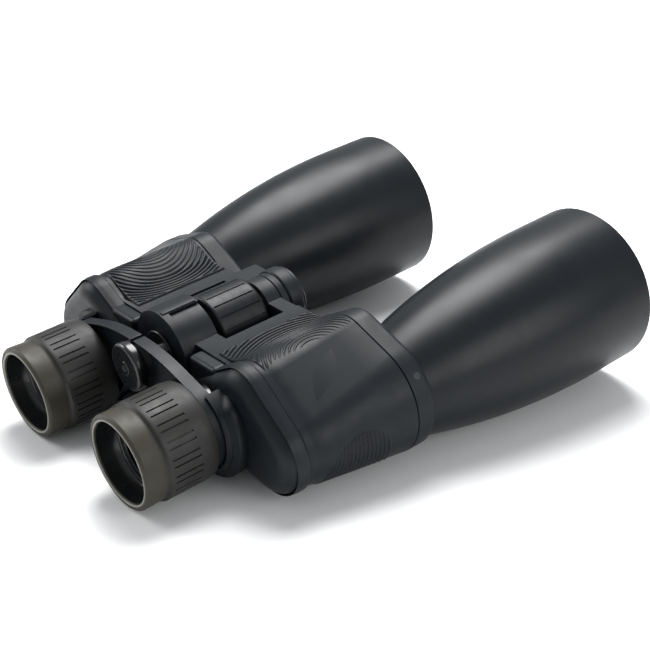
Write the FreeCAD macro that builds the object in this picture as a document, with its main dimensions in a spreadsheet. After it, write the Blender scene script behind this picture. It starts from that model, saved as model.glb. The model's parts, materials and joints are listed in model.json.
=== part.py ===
import FreeCAD, Part
import math
import os
from types import SimpleNamespace

import Sketcher

# Centre-focus Porro-prism binoculars.
# Every piece is drawn in the optical frame: +Y runs from the eyecups to the objectives, +X to
# the right, +Z up, y = 0 at the eyecup rims and z = 0 on the eyepiece axes.  The placement REST
# then leans the whole instrument back until it stands on its rear bosses and on its barrels.

SIZES = {
    # overall layout
    "eye_spacing": 72.3,          # between the eyepiece axes
    "objective_spacing": 135.1,   # between the objective axes
    "objective_drop": 3.9,        # objective axis below the eyepiece axis
    "hinge_rise": 14.0,           # hinge axis above the eyepiece axis
    "eyepiece_reach": 43.0,       # eyecup rim to the rear face of the prism housing
    "cover_depth": 10.0,
    "housing_depth": 48.5,
    "collar_depth": 9.5,
    # prism housing section, a belt round three circles
    "eye_round": 16.5,            # about the eyepiece axis
    "knee_round": 13.0,           # about the folded axis between the prisms
    "objective_round_rear": 17.5,
    "objective_round_front": 24.5,
    "wall": 2.0,
    "front_wall": 3.5,
    "cover_edge_round": 7.5,
    "cover_plate": 3.0,
    # rear boss that guides an eyepiece
    "boss_lip": 19.3,
    "boss_radius": 24.5,
    "boss_neck": 19.5,
    "boss_start": 36.4,
    "boss_flare": 3.4,
    "boss_length": 8.1,
    "boss_step": 1.0,
    "boss_neck_length": 3.5,
    # objective barrel
    "neck_radius": 18.0,
    "neck_length": 3.4,
    "flare_start_radius": 20.35,
    "flare_radius": 342.0,
    "flare_cone_length": 18.5,
    "flare_arc_length": 85.0,
    "rim_length": 22.1,
    "rim_bevel": 0.8,
    "barrel_wall": 2.0,
    # objective glass
    "cell_wall": 1.4,
    "cell_lip": 2.3,
    "cell_length": 10.5,
    "crown_thickness": 5.5,
    "flint_thickness": 3.0,
    "crown_bow": 1.5,
    "joint_bow": 1.6,
    "flint_bow": 1.2,
    "ring_length": 3.0,
    "rim_recess": 8.5,            # barrel rim to the retaining ring
    # eyepiece
    "cup_radius": 20.0,
    "cup_bore": 17.2,
    "cup_depth": 11.0,
    "cup_shelf": 2.0,
    "cup_bevel": 0.8,
    "sleeve_radius": 20.7,
    "sleeve_length": 22.5,
    "sleeve_taper": 4.0,
    "cup_skirt": 10.5,
    "tube_radius": 16.2,
    "tube_wall": 2.3,
    "tube_start": 11.3,
    "tube_shoulder": 1.2,         # beyond the arms' front faces
    "tube_end": 5.5,              # beyond the rear face of the prism housing
    "lens_cell_start": 13.0,
    "lens_cell_length": 24.5,
    "lens_cell_wall": 1.6,
    "lens_cell_web": 1.5,
    "eye_lens_seat": 1.8,         # cell's bore to the eye lens
    "eye_lens_edge": 4.1,
    "eye_lens_bow": 1.6,
    "eye_lens_inset": 4.2,
    "field_lens_edge": 3.5,
    # bridge
    "arm_standoff": 4.0,          # arms' front faces to the rear face of the prism housing
    "arm_depth": 5.5,
    "arm_ring_radius": 18.2,
    "arm_plate": 4.6,
    "arm_crest": 4.2,
    "hub_radius": 6.0,
    "hub_wall": 2.6,
    "roof_radius": 11.0,
    "roof_gap": 1.8,
    "end_cap_radius": 10.5,
    "end_cap_length": 3.6,
    "end_cap_bevel": 1.2,
    "slide_in": 3.0,
    # hinge and focus drive
    "spindle_radius": 3.2,
    "pin_radius": 6.5,
    "flange_width": 3.0,
    "flange_length": 1.4,
    "lug_setback": 3.5,           # housing's rear face to the rear lug
    "lug_reach": 11.5,            # seam to the front of the rear lug
    "left_lug_depth": 3.5,
    "rear_lug_radius": 16.6,
    "skin_thickness": 1.0,
    "wheel_gap": 3.0,
    "wheel_radius": 15.4,
    "wheel_rim": 2.6,
    "wheel_dish": 2.0,
    "wheel_bevel": 0.8,
    "nut_radius": 8.0,
    "nut_inset": 0.4,
    "washer_radius": 9.0,
    "washer_thickness": 0.8,
    "nose_depth": 8.0,            # rear of the nose to the collar seam
    "nose_overlap": 0.5,
    "nose_reach": 10.5,
    "nose_radius": 12.4,
    "socket_radius": 3.175,       # quarter-inch tripod thread
    "socket_depth": 8.0,
    "rail_clearance": 5.6,        # wheel rim to the rail
    "rail_outer": 40.0,
    "wing_top": 20.5,
    "wing_bottom": 11.0,
    # prisms
    "prism_overhang": 5.3,
    "prism_edge": 1.5,
    "prism_tip": 2.0,
    "prism_width_share": 0.66,    # of the knee round
    "shelf_share": 0.412,         # of the housing depth
    "shelf_thickness": 2.0,
    "window_margin": 2.0,
    "clip_thickness": 0.6,
    "clip_half_width": 4.0,
    # grips and small parts
    "pad_thickness": 0.8,
    "pad_setback": 6.0,
    "pad_share": 0.78,            # of the housing depth
    "pad_margin": 6.0,
    "screw_radius": 1.5,
    "screw_height": 0.35,
    # clearances
    "journal_gap": 0.05,
    "running_gap": 0.3,
    "seat_gap": 0.02,
    "seam_gap": 0.15,
    "pad_gap": 0.12,
}


class Dim:
    """A size that carries both its value and the spreadsheet formula behind it."""

    def __init__(self, value, text):
        self.value = float(value)
        self.text = text

    def join(self, other, sign):
        other = dim(other)
        value = {"+": self.value + other.value, "-": self.value - other.value,
                 "*": self.value * other.value}[sign]
        return Dim(value, "(%s %s %s)" % (self.text, sign, other.text))

    def __add__(self, other):
        return self.join(other, "+")

    def __sub__(self, other):
        return self.join(other, "-")

    def __mul__(self, other):
        return self.join(other, "*")

    def __radd__(self, other):
        return dim(other).join(self, "+")

    def __rsub__(self, other):
        return dim(other).join(self, "-")

    def __rmul__(self, other):
        return dim(other).join(self, "*")

    def __neg__(self):
        return dim(-1).join(self, "*")


def dim(number):
    """Return a Dim for a plain number, or the Dim itself."""
    if isinstance(number, Dim):
        return number
    return Dim(number, "(%.12g)" % number)


def square_root(number):
    """Return the square root of a Dim."""
    return Dim(math.sqrt(number.value), "sqrt(%s)" % number.text)


DOC = FreeCAD.newDocument("Binoculars")
SHEET = DOC.addObject("Spreadsheet::Sheet", "Sheet")
for row, (word, number) in enumerate(SIZES.items(), start=1):
    SHEET.set("A%d" % row, word)
    SHEET.set("B%d" % row, str(number))
    SHEET.setAlias("B%d" % row, word)
DOC.recompute()
S = SimpleNamespace(**{word: Dim(SHEET.get(word), "Sheet." + word) for word in SIZES})

# Stations along the optical axis.
SEAM = S.eyepiece_reach + S.cover_depth
COLLAR = SEAM + S.housing_depth
MUZZLE = COLLAR + S.collar_depth
FLARE = COLLAR + S.flare_cone_length
RIM_BACK = FLARE + S.flare_arc_length
RIM = RIM_BACK + S.rim_length
ARM_FRONT = S.eyepiece_reach - S.arm_standoff
ARM_REAR = ARM_FRONT - S.arm_depth
CAP_FRONT = ARM_REAR - S.running_gap
TUBE_SHOULDER = ARM_FRONT + S.tube_shoulder
SEAT_FLOOR = TUBE_SHOULDER + S.slide_in + S.running_gap
LUG_REAR = S.eyepiece_reach + S.lug_setback
LUG_SPLIT = LUG_REAR + S.left_lug_depth
LUG_FRONT = SEAM + S.lug_reach
SLEEVE_FRONT = LUG_FRONT + S.wheel_gap - S.washer_thickness - S.seat_gap
NOSE_REAR = COLLAR - S.nose_depth
NOSE_SPLIT = COLLAR - S.nose_overlap
NOSE_FRONT = COLLAR + S.nose_reach
WHEEL_REAR = LUG_FRONT + S.wheel_gap
WHEEL_FRONT = NOSE_REAR - S.wheel_gap
SHELF_REAR = SEAM + S.housing_depth * S.shelf_share

# The barrel's flare is a cone that runs on into an arc and ends parallel to the axis.
FLARE_ANGLE = math.asin(S.flare_arc_length.value / S.flare_radius.value)
CONE_GAIN = dim(math.tan(FLARE_ANGLE)) * S.flare_cone_length
ARC_GAIN = S.flare_radius * (1 - math.cos(FLARE_ANGLE))
FLARE_RADIUS = S.flare_start_radius + CONE_GAIN
RIM_RADIUS = FLARE_RADIUS + ARC_GAIN
RIM_BORE = RIM_RADIUS - S.barrel_wall

# Radii that follow from others.
SKIN_INNER = S.rear_lug_radius + S.running_gap
SKIN_RADIUS = SKIN_INNER + S.skin_thickness
SPINDLE_BORE = S.spindle_radius + S.journal_gap
GUIDE_BORE = S.tube_radius + S.running_gap
TUBE_BORE = S.tube_radius - S.tube_wall
EYE_LENS_RADIUS = TUBE_BORE - S.lens_cell_wall - S.eye_lens_seat
RAIL_INNER = S.wheel_radius + S.rail_clearance

# Axes in the optical frame for the right half; the left half mirrors x.
EYE_X = S.eye_spacing * 0.5
OBJECTIVE_X = S.objective_spacing * 0.5
OBJECTIVE_Z = -S.objective_drop
# Each prism shifts the light by the same amount, at right angles to the other one's shift.
KNEE_X = (EYE_X + OBJECTIVE_X + S.objective_drop) * 0.5
KNEE_Z = (OBJECTIVE_X - EYE_X - S.objective_drop) * 0.5
PRISM_SHIFT = square_root((KNEE_X - EYE_X) * (KNEE_X - EYE_X) + KNEE_Z * KNEE_Z)
PRISM_HALF = PRISM_SHIFT * 0.5 + S.prism_overhang
PRISM_HALF_WIDTH = S.knee_round * S.prism_width_share
PRISM_DEPTH = PRISM_HALF + S.prism_edge - S.prism_tip
PRISM_TURN = math.degrees(math.atan2(KNEE_Z.value, (KNEE_X - EYE_X).value))


def rest_placement():
    """Lean the optical frame back until cover bosses and barrel flares stand on z = 0."""
    foot_y, foot_z = (S.boss_start + S.boss_flare).value, -S.boss_radius.value
    centre_y = RIM_BACK.value
    centre_z = (OBJECTIVE_Z - RIM_RADIUS + S.flare_radius).value
    reach = math.hypot(centre_y - foot_y, centre_z - foot_z)
    lean = math.asin(S.flare_radius.value / reach) - math.atan2(centre_z - foot_z, centre_y - foot_y)
    rise = -(foot_y * math.sin(lean) + foot_z * math.cos(lean))
    back = -(S.cup_radius - S.cup_bevel).value * math.sin(lean)
    low_rim = (OBJECTIVE_Z - RIM_RADIUS + S.rim_bevel).value
    front = RIM.value * math.cos(lean) - low_rim * math.sin(lean)
    turn = FreeCAD.Rotation(FreeCAD.Vector(1, 0, 0), math.degrees(lean))
    return FreeCAD.Placement(FreeCAD.Vector(0, -(back + front) / 2, rise), turn)


REST = rest_placement()
PIECES = []


def place(piece, x=0, z=0, turn=0.0, y=0):
    """Stand a piece at (x, y, z) of the optical frame, turned about the optical axis."""
    spin = FreeCAD.Rotation(FreeCAD.Vector(0, 1, 0), -turn)
    base = FreeCAD.Vector(dim(x).value, dim(y).value, dim(z).value)
    piece.Placement = REST.multiply(FreeCAD.Placement(base, spin))
    PIECES.append(piece)
    return piece


def new_body(name):
    """Start a PartDesign body whose label names its file."""
    body = DOC.addObject("PartDesign::Body", name)
    body.Label = name
    return body


def new_sketch(body, plane, name, station=None):
    """Attach a sketch to one of the body's origin planes, moved to a station along +Y."""
    sketch = body.newObject("Sketcher::SketchObject", body.Name + "_" + name)
    support = [f for f in body.Origin.OriginFeatures if f.Role == plane][0]
    sketch.AttachmentSupport = [(support, "")]
    sketch.MapMode = "FlatFace"
    if station is not None:
        depth = -dim(station)
        sketch.AttachmentOffset = FreeCAD.Placement(
            FreeCAD.Vector(0, 0, depth.value), FreeCAD.Rotation())
        sketch.setExpression("AttachmentOffset.Base.z", depth.text)
    return sketch


def hold(sketch, kind, item, point, size):
    """Pin one coordinate of a sketch point to a formula."""
    index = sketch.addConstraint(Sketcher.Constraint(kind, -1, 1, item, point, size.value))
    sketch.setExpression("Constraints[%d]" % index, size.text)


def hold_radius(sketch, item, size):
    """Pin a round's radius to a formula."""
    index = sketch.addConstraint(Sketcher.Constraint("Radius", item, size.value))
    sketch.setExpression("Constraints[%d]" % index, size.text)


def draw_outline(sketch, points, bends=None):
    """Draw a closed outline through points.

    bends maps an edge's number to (radius, side): the edge is an arc whose centre lies to the
    left (side 1) or the right (side -1) of the way from its first point to its second.
    """
    bends = bends or {}
    points = [(dim(a), dim(b)) for a, b in points]
    ends = []
    for number, (first, second) in enumerate(zip(points, points[1:] + points[:1])):
        a = FreeCAD.Vector(first[0].value, first[1].value, 0)
        b = FreeCAD.Vector(second[0].value, second[1].value, 0)
        if number not in bends:
            ends.append((sketch.addGeometry(Part.LineSegment(a, b), False), 1, 2))
            continue
        radius, side = dim(bends[number][0]), bends[number][1]
        chord = b - a
        rise = math.sqrt(radius.value ** 2 - (chord.Length / 2) ** 2)
        left = FreeCAD.Vector(-chord.y, chord.x, 0).normalize()
        centre = (a + b) * 0.5 + left * (rise * side)
        start, stop = (a, b) if side > 0 else (b, a)
        angles = [math.atan2(p.y - centre.y, p.x - centre.x) for p in (start, stop)]
        if angles[1] < angles[0]:
            angles[1] += 2 * math.pi
        circle = Part.Circle(centre, FreeCAD.Vector(0, 0, 1), radius.value)
        item = sketch.addGeometry(Part.ArcOfCircle(circle, angles[0], angles[1]), False)
        hold_radius(sketch, item, radius)
        ends.append((item, 1, 2) if side > 0 else (item, 2, 1))
    for number, (item, first, last) in enumerate(ends):
        following = ends[(number + 1) % len(ends)]
        sketch.addConstraint(
            Sketcher.Constraint("Coincident", item, last, following[0], following[1]))
    for (item, first, last), (across, up) in zip(ends, points):
        hold(sketch, "DistanceX", item, first, across)
        hold(sketch, "DistanceY", item, first, up)


def draw_circle(sketch, x, z, radius):
    """Draw a circle whose centre and radius follow formulas."""
    x, z, radius = dim(x), dim(z), dim(radius)
    centre = FreeCAD.Vector(x.value, z.value, 0)
    item = sketch.addGeometry(Part.Circle(centre, FreeCAD.Vector(0, 0, 1), radius.value), False)
    hold(sketch, "DistanceX", item, 3, x)
    hold(sketch, "DistanceY", item, 3, z)
    hold_radius(sketch, item, radius)


def draw_hull(sketch, rounds):
    """Draw the belt round several circles, given anticlockwise as (x, z, radius)."""
    rounds = [tuple(dim(value) for value in one) for one in rounds]
    outward = []
    for one, two in zip(rounds, rounds[1:] + rounds[:1]):
        across = two[0].value - one[0].value
        up = two[1].value - one[1].value
        length = math.hypot(across, up)
        share = (one[2].value - two[2].value) / length
        side = math.sqrt(1 - share ** 2)
        along = FreeCAD.Vector(across / length, up / length, 0)
        right = FreeCAD.Vector(along.y, -along.x, 0)
        outward.append(along * share + right * side)
    arcs = []
    for number, (x, z, radius) in enumerate(rounds):
        low, high = outward[number - 1], outward[number]
        angles = [math.atan2(low.y, low.x), math.atan2(high.y, high.x)]
        if angles[1] < angles[0]:
            angles[1] += 2 * math.pi
        centre = FreeCAD.Vector(x.value, z.value, 0)
        circle = Part.Circle(centre, FreeCAD.Vector(0, 0, 1), radius.value)
        arcs.append(sketch.addGeometry(Part.ArcOfCircle(circle, *angles), False))
        hold(sketch, "DistanceX", arcs[-1], 3, x)
        hold(sketch, "DistanceY", arcs[-1], 3, z)
        hold_radius(sketch, arcs[-1], radius)
    for number, normal in enumerate(outward):
        ahead = (number + 1) % len(rounds)
        points = []
        for x, z, radius in (rounds[number], rounds[ahead]):
            points.append(FreeCAD.Vector(x.value, z.value, 0) + normal * radius.value)
        line = sketch.addGeometry(Part.LineSegment(*points), False)
        sketch.addConstraint(Sketcher.Constraint("Tangent", arcs[number], 2, line, 1))
        sketch.addConstraint(Sketcher.Constraint("Tangent", line, 2, arcs[ahead], 1))


def extrude(body, kind, sketch, length, name):
    """Pad or pocket a sketch of the XZ plane towards +Y."""
    feature = body.newObject("PartDesign::" + kind, body.Name + "_" + name)
    feature.Profile = sketch
    length = dim(length)
    feature.Length = length.value
    feature.setExpression("Length", length.text)
    feature.Reversed = kind == "Pad"
    sketch.Visibility = False
    return feature


def disc(body, kind, name, rear, front, radius, x=0, z=0):
    """Add or cut a round between two stations."""
    sketch = new_sketch(body, "XZ_Plane", name + "_sketch", rear)
    draw_circle(sketch, x, z, radius)
    return extrude(body, kind, sketch, dim(front) - rear, name)


def block(body, kind, name, rear, front, low, high):
    """Add or cut a block between two stations and two corners (x, z)."""
    sketch = new_sketch(body, "XZ_Plane", name + "_sketch", rear)
    (x1, z1), (x2, z2) = low, high
    draw_outline(sketch, [(x1, z1), (x2, z1), (x2, z2), (x1, z2)])
    return extrude(body, kind, sketch, dim(front) - rear, name)


def hull(body, kind, name, rear, front, rounds, side):
    """Add or cut a belt shape between two stations."""
    sketch = new_sketch(body, "XZ_Plane", name + "_sketch", rear)
    draw_hull(sketch, mirrored(rounds, side))
    return extrude(body, kind, sketch, dim(front) - rear, name)


def hull_loft(body, kind, name, rear, front, rear_rounds, front_rounds, side):
    """Add or cut a straight loft between two belt shapes."""
    first = new_sketch(body, "XZ_Plane", name + "_rear", rear)
    draw_hull(first, mirrored(rear_rounds, side))
    last = new_sketch(body, "XZ_Plane", name + "_front", front)
    draw_hull(last, mirrored(front_rounds, side))
    loft = body.newObject("PartDesign::" + kind, body.Name + "_" + name)
    loft.Profile = first
    loft.Sections = [last]
    loft.Ruled = True
    return loft


def mirrored(rounds, side):
    """Mirror rounds to the left for side -1, keeping them anticlockwise."""
    if side > 0:
        return rounds
    return [(-dim(x), z, radius) for x, z, radius in reversed(rounds)]


def revolve(body, kind, points, name, bends=None):
    """Turn an outline of (radius, station) points about the body's own Y axis."""
    sketch = new_sketch(body, "XY_Plane", name + "_sketch")
    draw_outline(sketch, points, bends)
    feature = body.newObject("PartDesign::" + kind, body.Name + "_" + name)
    feature.Profile = sketch
    feature.ReferenceAxis = (sketch, ["V_Axis"])
    feature.Angle = 360
    return feature


def turned(name, points, x=0, z=0, bends=None):
    """Make a lathe-turned piece round an axis at (x, z)."""
    body = new_body(name)
    revolve(body, "Revolution", points, "turn", bends)
    return place(body, x, z)


def tube(name, rear, front, outer, bore, x=0, z=0):
    """Make a plain ring or tube."""
    return turned(name, [(bore, rear), (outer, rear), (outer, front), (bore, front)], x, z)


def section(grow, objective_round, x_shift=0):
    """Return the housing's three rounds, grown outwards by an amount."""
    return [
        (EYE_X - x_shift, dim(0), S.eye_round + grow),
        (OBJECTIVE_X - x_shift, OBJECTIVE_Z, dim(objective_round) + grow),
        (KNEE_X - x_shift, KNEE_Z, S.knee_round + grow),
    ]


def span(side, near, far):
    """Return two distances from the middle as ordered x values on one side."""
    return sorted([dim(near) * side, dim(far) * side], key=lambda size: size.value)


def prism_housing(name, side):
    """Make the main casting with its hinge lugs and the wings that carry them."""
    body = new_body(name)
    hull_loft(body, "AdditiveLoft", "shell", SEAM, COLLAR,
              section(0, S.objective_round_rear), section(0, S.objective_round_front), side)
    wing_block(body, side, "rail", SEAM, COLLAR, RAIL_INNER, S.rail_outer)
    hull_cavity(body, side)
    if side > 0:
        lugs = [(LUG_SPLIT + S.running_gap, LUG_FRONT, S.rear_lug_radius),
                (NOSE_REAR, NOSE_SPLIT - S.running_gap, S.nose_radius)]
        wing_block(body, side, "rear_wing", SEAM, LUG_FRONT, S.pin_radius, RAIL_INNER + S.wall)
        wing_block(body, side, "nose_wing", NOSE_REAR, NOSE_SPLIT - S.running_gap,
                   S.pin_radius, RAIL_INNER + S.wall)
    else:
        lugs = [(LUG_REAR, LUG_SPLIT, SKIN_RADIUS), (NOSE_SPLIT, NOSE_FRONT, S.nose_radius)]
        hinge_skin(body)
        wing_block(body, side, "nose_wing", NOSE_SPLIT, NOSE_FRONT,
                   S.pin_radius, RAIL_INNER + S.wall)
        wing_block(body, side, "nose_root", NOSE_REAR, NOSE_FRONT,
                   S.nose_radius + S.running_gap * 2, RAIL_INNER + S.wall)
    bore = S.pin_radius + (S.journal_gap if side > 0 else S.seat_gap)
    for number, (rear, front, radius) in enumerate(lugs):
        disc(body, "Pad", "lug%d" % number, rear, front, radius, 0, S.hinge_rise)
        disc(body, "Pocket", "bore%d" % number, front, rear, bore, 0, S.hinge_rise)
    disc(body, "Pocket", "barrel_hole", COLLAR, COLLAR - S.front_wall,
         S.neck_radius + S.seat_gap, OBJECTIVE_X * side, OBJECTIVE_Z)
    return place(body)


def hull_cavity(body, side):
    """Hollow the housing from its rear seam to its front wall."""
    slope = (S.objective_round_front - S.objective_round_rear).value / S.housing_depth.value
    front_round = S.objective_round_front - S.front_wall * slope
    hull_loft(body, "SubtractiveLoft", "cavity", SEAM, COLLAR - S.front_wall,
              section(-S.wall, S.objective_round_rear), section(-S.wall, front_round), side)


def wing_block(body, side, name, rear, front, near, far):
    """Add a flat block between the hinge and the housing's shoulder."""
    low, high = span(side, near, far)
    block(body, "Pad", name, rear, front, (low, S.wing_bottom), (high, S.wing_top))


def hinge_skin(body):
    """Add the left half's cover that hoods the right half's rear lug."""
    start, stop = math.radians(78), math.radians(205)
    points = []
    for radius, angle in ((SKIN_RADIUS, start), (SKIN_RADIUS, stop), (SKIN_INNER, stop),
                          (SKIN_INNER, start)):
        points.append((radius * math.cos(angle), S.hinge_rise + radius * math.sin(angle)))
    sketch = new_sketch(body, "XZ_Plane", "skin_sketch", LUG_SPLIT)
    draw_outline(sketch, points, {0: (SKIN_RADIUS, 1), 2: (SKIN_INNER, -1)})
    extrude(body, "Pad", sketch, LUG_FRONT - LUG_SPLIT, "skin")
    wing_block(body, -1, "skin_wing", SEAM, LUG_FRONT, SKIN_INNER + S.skin_thickness * 0.4,
               RAIL_INNER + S.wall)


def edges_at(shape, station, reach):
    """Name a shape's edges that lie wholly at a station and further out than reach."""
    names = []
    for number, edge in enumerate(shape.Edges, start=1):
        box = edge.BoundBox
        flat = abs(box.YMin - station) < 1e-4 and abs(box.YMax - station) < 1e-4
        middle = edge.valueAt((edge.FirstParameter + edge.LastParameter) / 2)
        if flat and reach(middle):
            names.append("Edge%d" % number)
    return names


def rear_cover(name, side):
    """Make the rounded cap that closes the prism housing and guides the eyepiece tube."""
    body = new_body(name)
    rounds = section(0, S.objective_round_rear, EYE_X)
    hull(body, "Pad", "shell", S.eyepiece_reach, SEAM - S.seam_gap, rounds, side)
    DOC.recompute()
    base = body.Tip
    fillet = body.newObject("PartDesign::Fillet", name + "_edge_round")
    fillet.Base = (base, edges_at(base.Shape, S.eyepiece_reach.value, lambda point: True))
    fillet.Radius = S.cover_edge_round.value
    fillet.setExpression("Radius", S.cover_edge_round.text)
    plate_front = S.eyepiece_reach + S.cover_plate
    lip = S.arm_ring_radius + S.running_gap
    flange = S.boss_start + S.boss_flare
    flange_end = S.boss_start + S.boss_length
    neck_start = flange_end + S.boss_step
    neck_end = neck_start + S.boss_neck_length
    revolve(body, "Revolution", [
        (TUBE_BORE, SEAT_FLOOR - S.running_gap), (lip, SEAT_FLOOR - S.running_gap),
        (lip, S.boss_start), (S.boss_lip, S.boss_start), (S.boss_radius, flange),
        (S.boss_radius, flange_end), (S.boss_neck, neck_start), (S.boss_neck, neck_end),
        (TUBE_BORE, neck_end)], "boss")
    inner = section(-S.wall, S.objective_round_rear - S.cover_edge_round * 0.3, EYE_X)
    hull(body, "Pocket", "cavity", SEAM, plate_front, inner, side)
    disc(body, "Pocket", "guide_bore", SEAT_FLOOR, S.boss_start, GUIDE_BORE)
    disc(body, "Pocket", "tube_bore", SEAM, SEAT_FLOOR, TUBE_BORE + S.running_gap)
    low, high = span(-side, -S.arm_crest, S.boss_radius + S.wall)
    block(body, "Pocket", "arm_slot", ARM_FRONT + S.slide_in + S.running_gap,
          S.boss_start - S.boss_step, (low, S.eye_round * 0.35), (high, S.boss_radius + S.wall))
    return place(body, EYE_X * side)


def front_collar(name, side):
    """Make the ring that clamps the barrel to the front of the housing."""
    body = new_body(name)
    rounds = section(0, S.objective_round_front, OBJECTIVE_X)
    rounds = [(x, z - OBJECTIVE_Z, radius) for x, z, radius in rounds]
    hull(body, "Pad", "shell", COLLAR + S.seam_gap, MUZZLE, rounds, side)
    seat = S.flare_start_radius + S.seat_gap
    revolve(body, "Groove", [
        (0, COLLAR), (seat, COLLAR), (seat + S.collar_depth * math.tan(FLARE_ANGLE), MUZZLE),
        (0, MUZZLE)], "seat")
    return place(body, OBJECTIVE_X * side, OBJECTIVE_Z)


def objective_barrel(name, side):
    """Make the flared barrel from its threaded neck to its rim."""
    wall = S.barrel_wall
    points = [
        (S.neck_radius, COLLAR - S.neck_length), (S.neck_radius, COLLAR),
        (S.flare_start_radius, COLLAR), (FLARE_RADIUS, FLARE), (RIM_RADIUS, RIM_BACK),
        (RIM_RADIUS, RIM - S.rim_bevel), (RIM_RADIUS - S.rim_bevel, RIM), (RIM_BORE, RIM),
        (RIM_BORE, RIM_BACK), (FLARE_RADIUS - wall, FLARE + wall * math.sin(FLARE_ANGLE)),
        (S.flare_start_radius - wall, COLLAR + wall), (S.neck_radius - wall, COLLAR),
        (S.neck_radius - wall, COLLAR - S.neck_length)]
    bends = {3: (S.flare_radius, 1), 8: (S.flare_radius + wall, -1)}
    return turned(name, points, OBJECTIVE_X * side, OBJECTIVE_Z, bends)


def objective_glass(prefix, side):
    """Make the lens cell, the cemented pair and its retaining ring."""
    x, z = OBJECTIVE_X * side, OBJECTIVE_Z
    ring_front = RIM - S.rim_recess
    glass_front = ring_front - S.ring_length
    cell_outer = RIM_BORE - S.seat_gap
    glass_radius = cell_outer - S.cell_wall
    flint_rear = glass_front - S.crown_thickness - S.flint_thickness
    lip = glass_radius - S.cell_lip
    turned(prefix + "_objective_cell", [
        (lip, glass_front - S.cell_length), (cell_outer, glass_front - S.cell_length),
        (cell_outer, ring_front), (glass_radius + S.seat_gap, ring_front),
        (glass_radius + S.seat_gap, flint_rear), (lip, flint_rear)], x, z)
    middle = flint_rear + S.flint_thickness
    joint_edge = middle + S.joint_bow
    turned(prefix + "_crown_lens", [
        (0, middle), (glass_radius, joint_edge), (glass_radius, glass_front - S.crown_bow),
        (0, glass_front)], x, z,
        {0: (bow(glass_radius, S.joint_bow), 1), 2: (bow(glass_radius, S.crown_bow), 1)})
    turned(prefix + "_flint_lens", [
        (0, flint_rear + S.flint_bow), (lip, flint_rear), (glass_radius, flint_rear),
        (glass_radius, joint_edge), (0, middle)], x, z,
        {0: (bow(lip, S.flint_bow), -1), 3: (bow(glass_radius, S.joint_bow), -1)})
    tube(prefix + "_retaining_ring", glass_front, ring_front, glass_radius, lip, x, z)


def bow(half_width, depth):
    """Return the radius of the arc that rises by depth over half_width."""
    half_width, depth = dim(half_width), dim(depth)
    value = (half_width.value ** 2 + depth.value ** 2) / (2 * depth.value)
    text = "((%s ^ 2 + %s ^ 2) / (2 * %s))" % (half_width.text, depth.text, depth.text)
    return Dim(value, text)


def prism(name, side, centre, turn, face, step):
    """Make a right-angle prism with a blunt tip, its long face at a station."""
    body = new_body(name)
    sketch = new_sketch(body, "XY_Plane", "sketch")
    shoulder, peak = S.prism_edge * step, PRISM_DEPTH * step
    draw_outline(sketch, [
        (-PRISM_HALF, 0), (PRISM_HALF, 0), (PRISM_HALF, shoulder), (S.prism_tip, peak),
        (-S.prism_tip, peak), (-PRISM_HALF, shoulder)])
    midplane_pad(body, sketch, PRISM_HALF_WIDTH * 2)
    return place(body, centre[0] * side, centre[1], turn * side, face)


def prism_clip(name, side, centre, turn, face, step):
    """Make the bent spring strap that holds a prism against the shelf."""
    body = new_body(name)
    sketch = new_sketch(body, "XY_Plane", "sketch")
    half, depth = PRISM_HALF + S.seam_gap, (PRISM_DEPTH + S.seat_gap) * step
    outer, top = half + S.clip_thickness, (PRISM_DEPTH + S.seat_gap + S.clip_thickness) * step
    draw_outline(sketch, [
        (-half, 0), (-half, depth), (half, depth), (half, 0),
        (outer, 0), (outer, top), (-outer, top), (-outer, 0)])
    midplane_pad(body, sketch, S.clip_half_width * 2)
    return place(body, centre[0] * side, centre[1], turn * side, face)


def midplane_pad(body, sketch, width):
    """Pad a sketch by half the width to each side of its plane."""
    pad = body.newObject("PartDesign::Pad", body.Name + "_pad")
    pad.Profile = sketch
    pad.Midplane = True
    pad.Length = width.value
    pad.setExpression("Length", width.text)


def prism_pair(prefix, side):
    """Make the shelf, both prisms and their clips."""
    shelf_front = SHELF_REAR + S.shelf_thickness
    growth = S.objective_round_front - S.objective_round_rear
    body = new_body(prefix + "_prism_shelf")
    hull(body, "Pad", "plate", SHELF_REAR, shelf_front,
         section(-(S.wall + S.running_gap), S.objective_round_rear + growth * S.shelf_share), side)
    for number, (x, z) in enumerate(((EYE_X, dim(0)), (KNEE_X, KNEE_Z), (OBJECTIVE_X, OBJECTIVE_Z))):
        disc(body, "Pocket", "window%d" % number, shelf_front, SHELF_REAR,
             PRISM_HALF_WIDTH - S.window_margin, x * side, z)
    place(body)
    rear_centre = ((OBJECTIVE_X + KNEE_X) * 0.5, (KNEE_Z + OBJECTIVE_Z) * 0.5)
    front_centre = ((EYE_X + KNEE_X) * 0.5, KNEE_Z * 0.5)
    rear_face = SHELF_REAR - S.seat_gap
    front_face = shelf_front + S.seat_gap
    for make, word in ((prism, "prism"), (prism_clip, "clip")):
        make(prefix + "_rear_" + word, side, rear_centre, PRISM_TURN - 90, rear_face, -1)
        make(prefix + "_front_" + word, side, front_centre, PRISM_TURN, front_face, 1)


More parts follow.
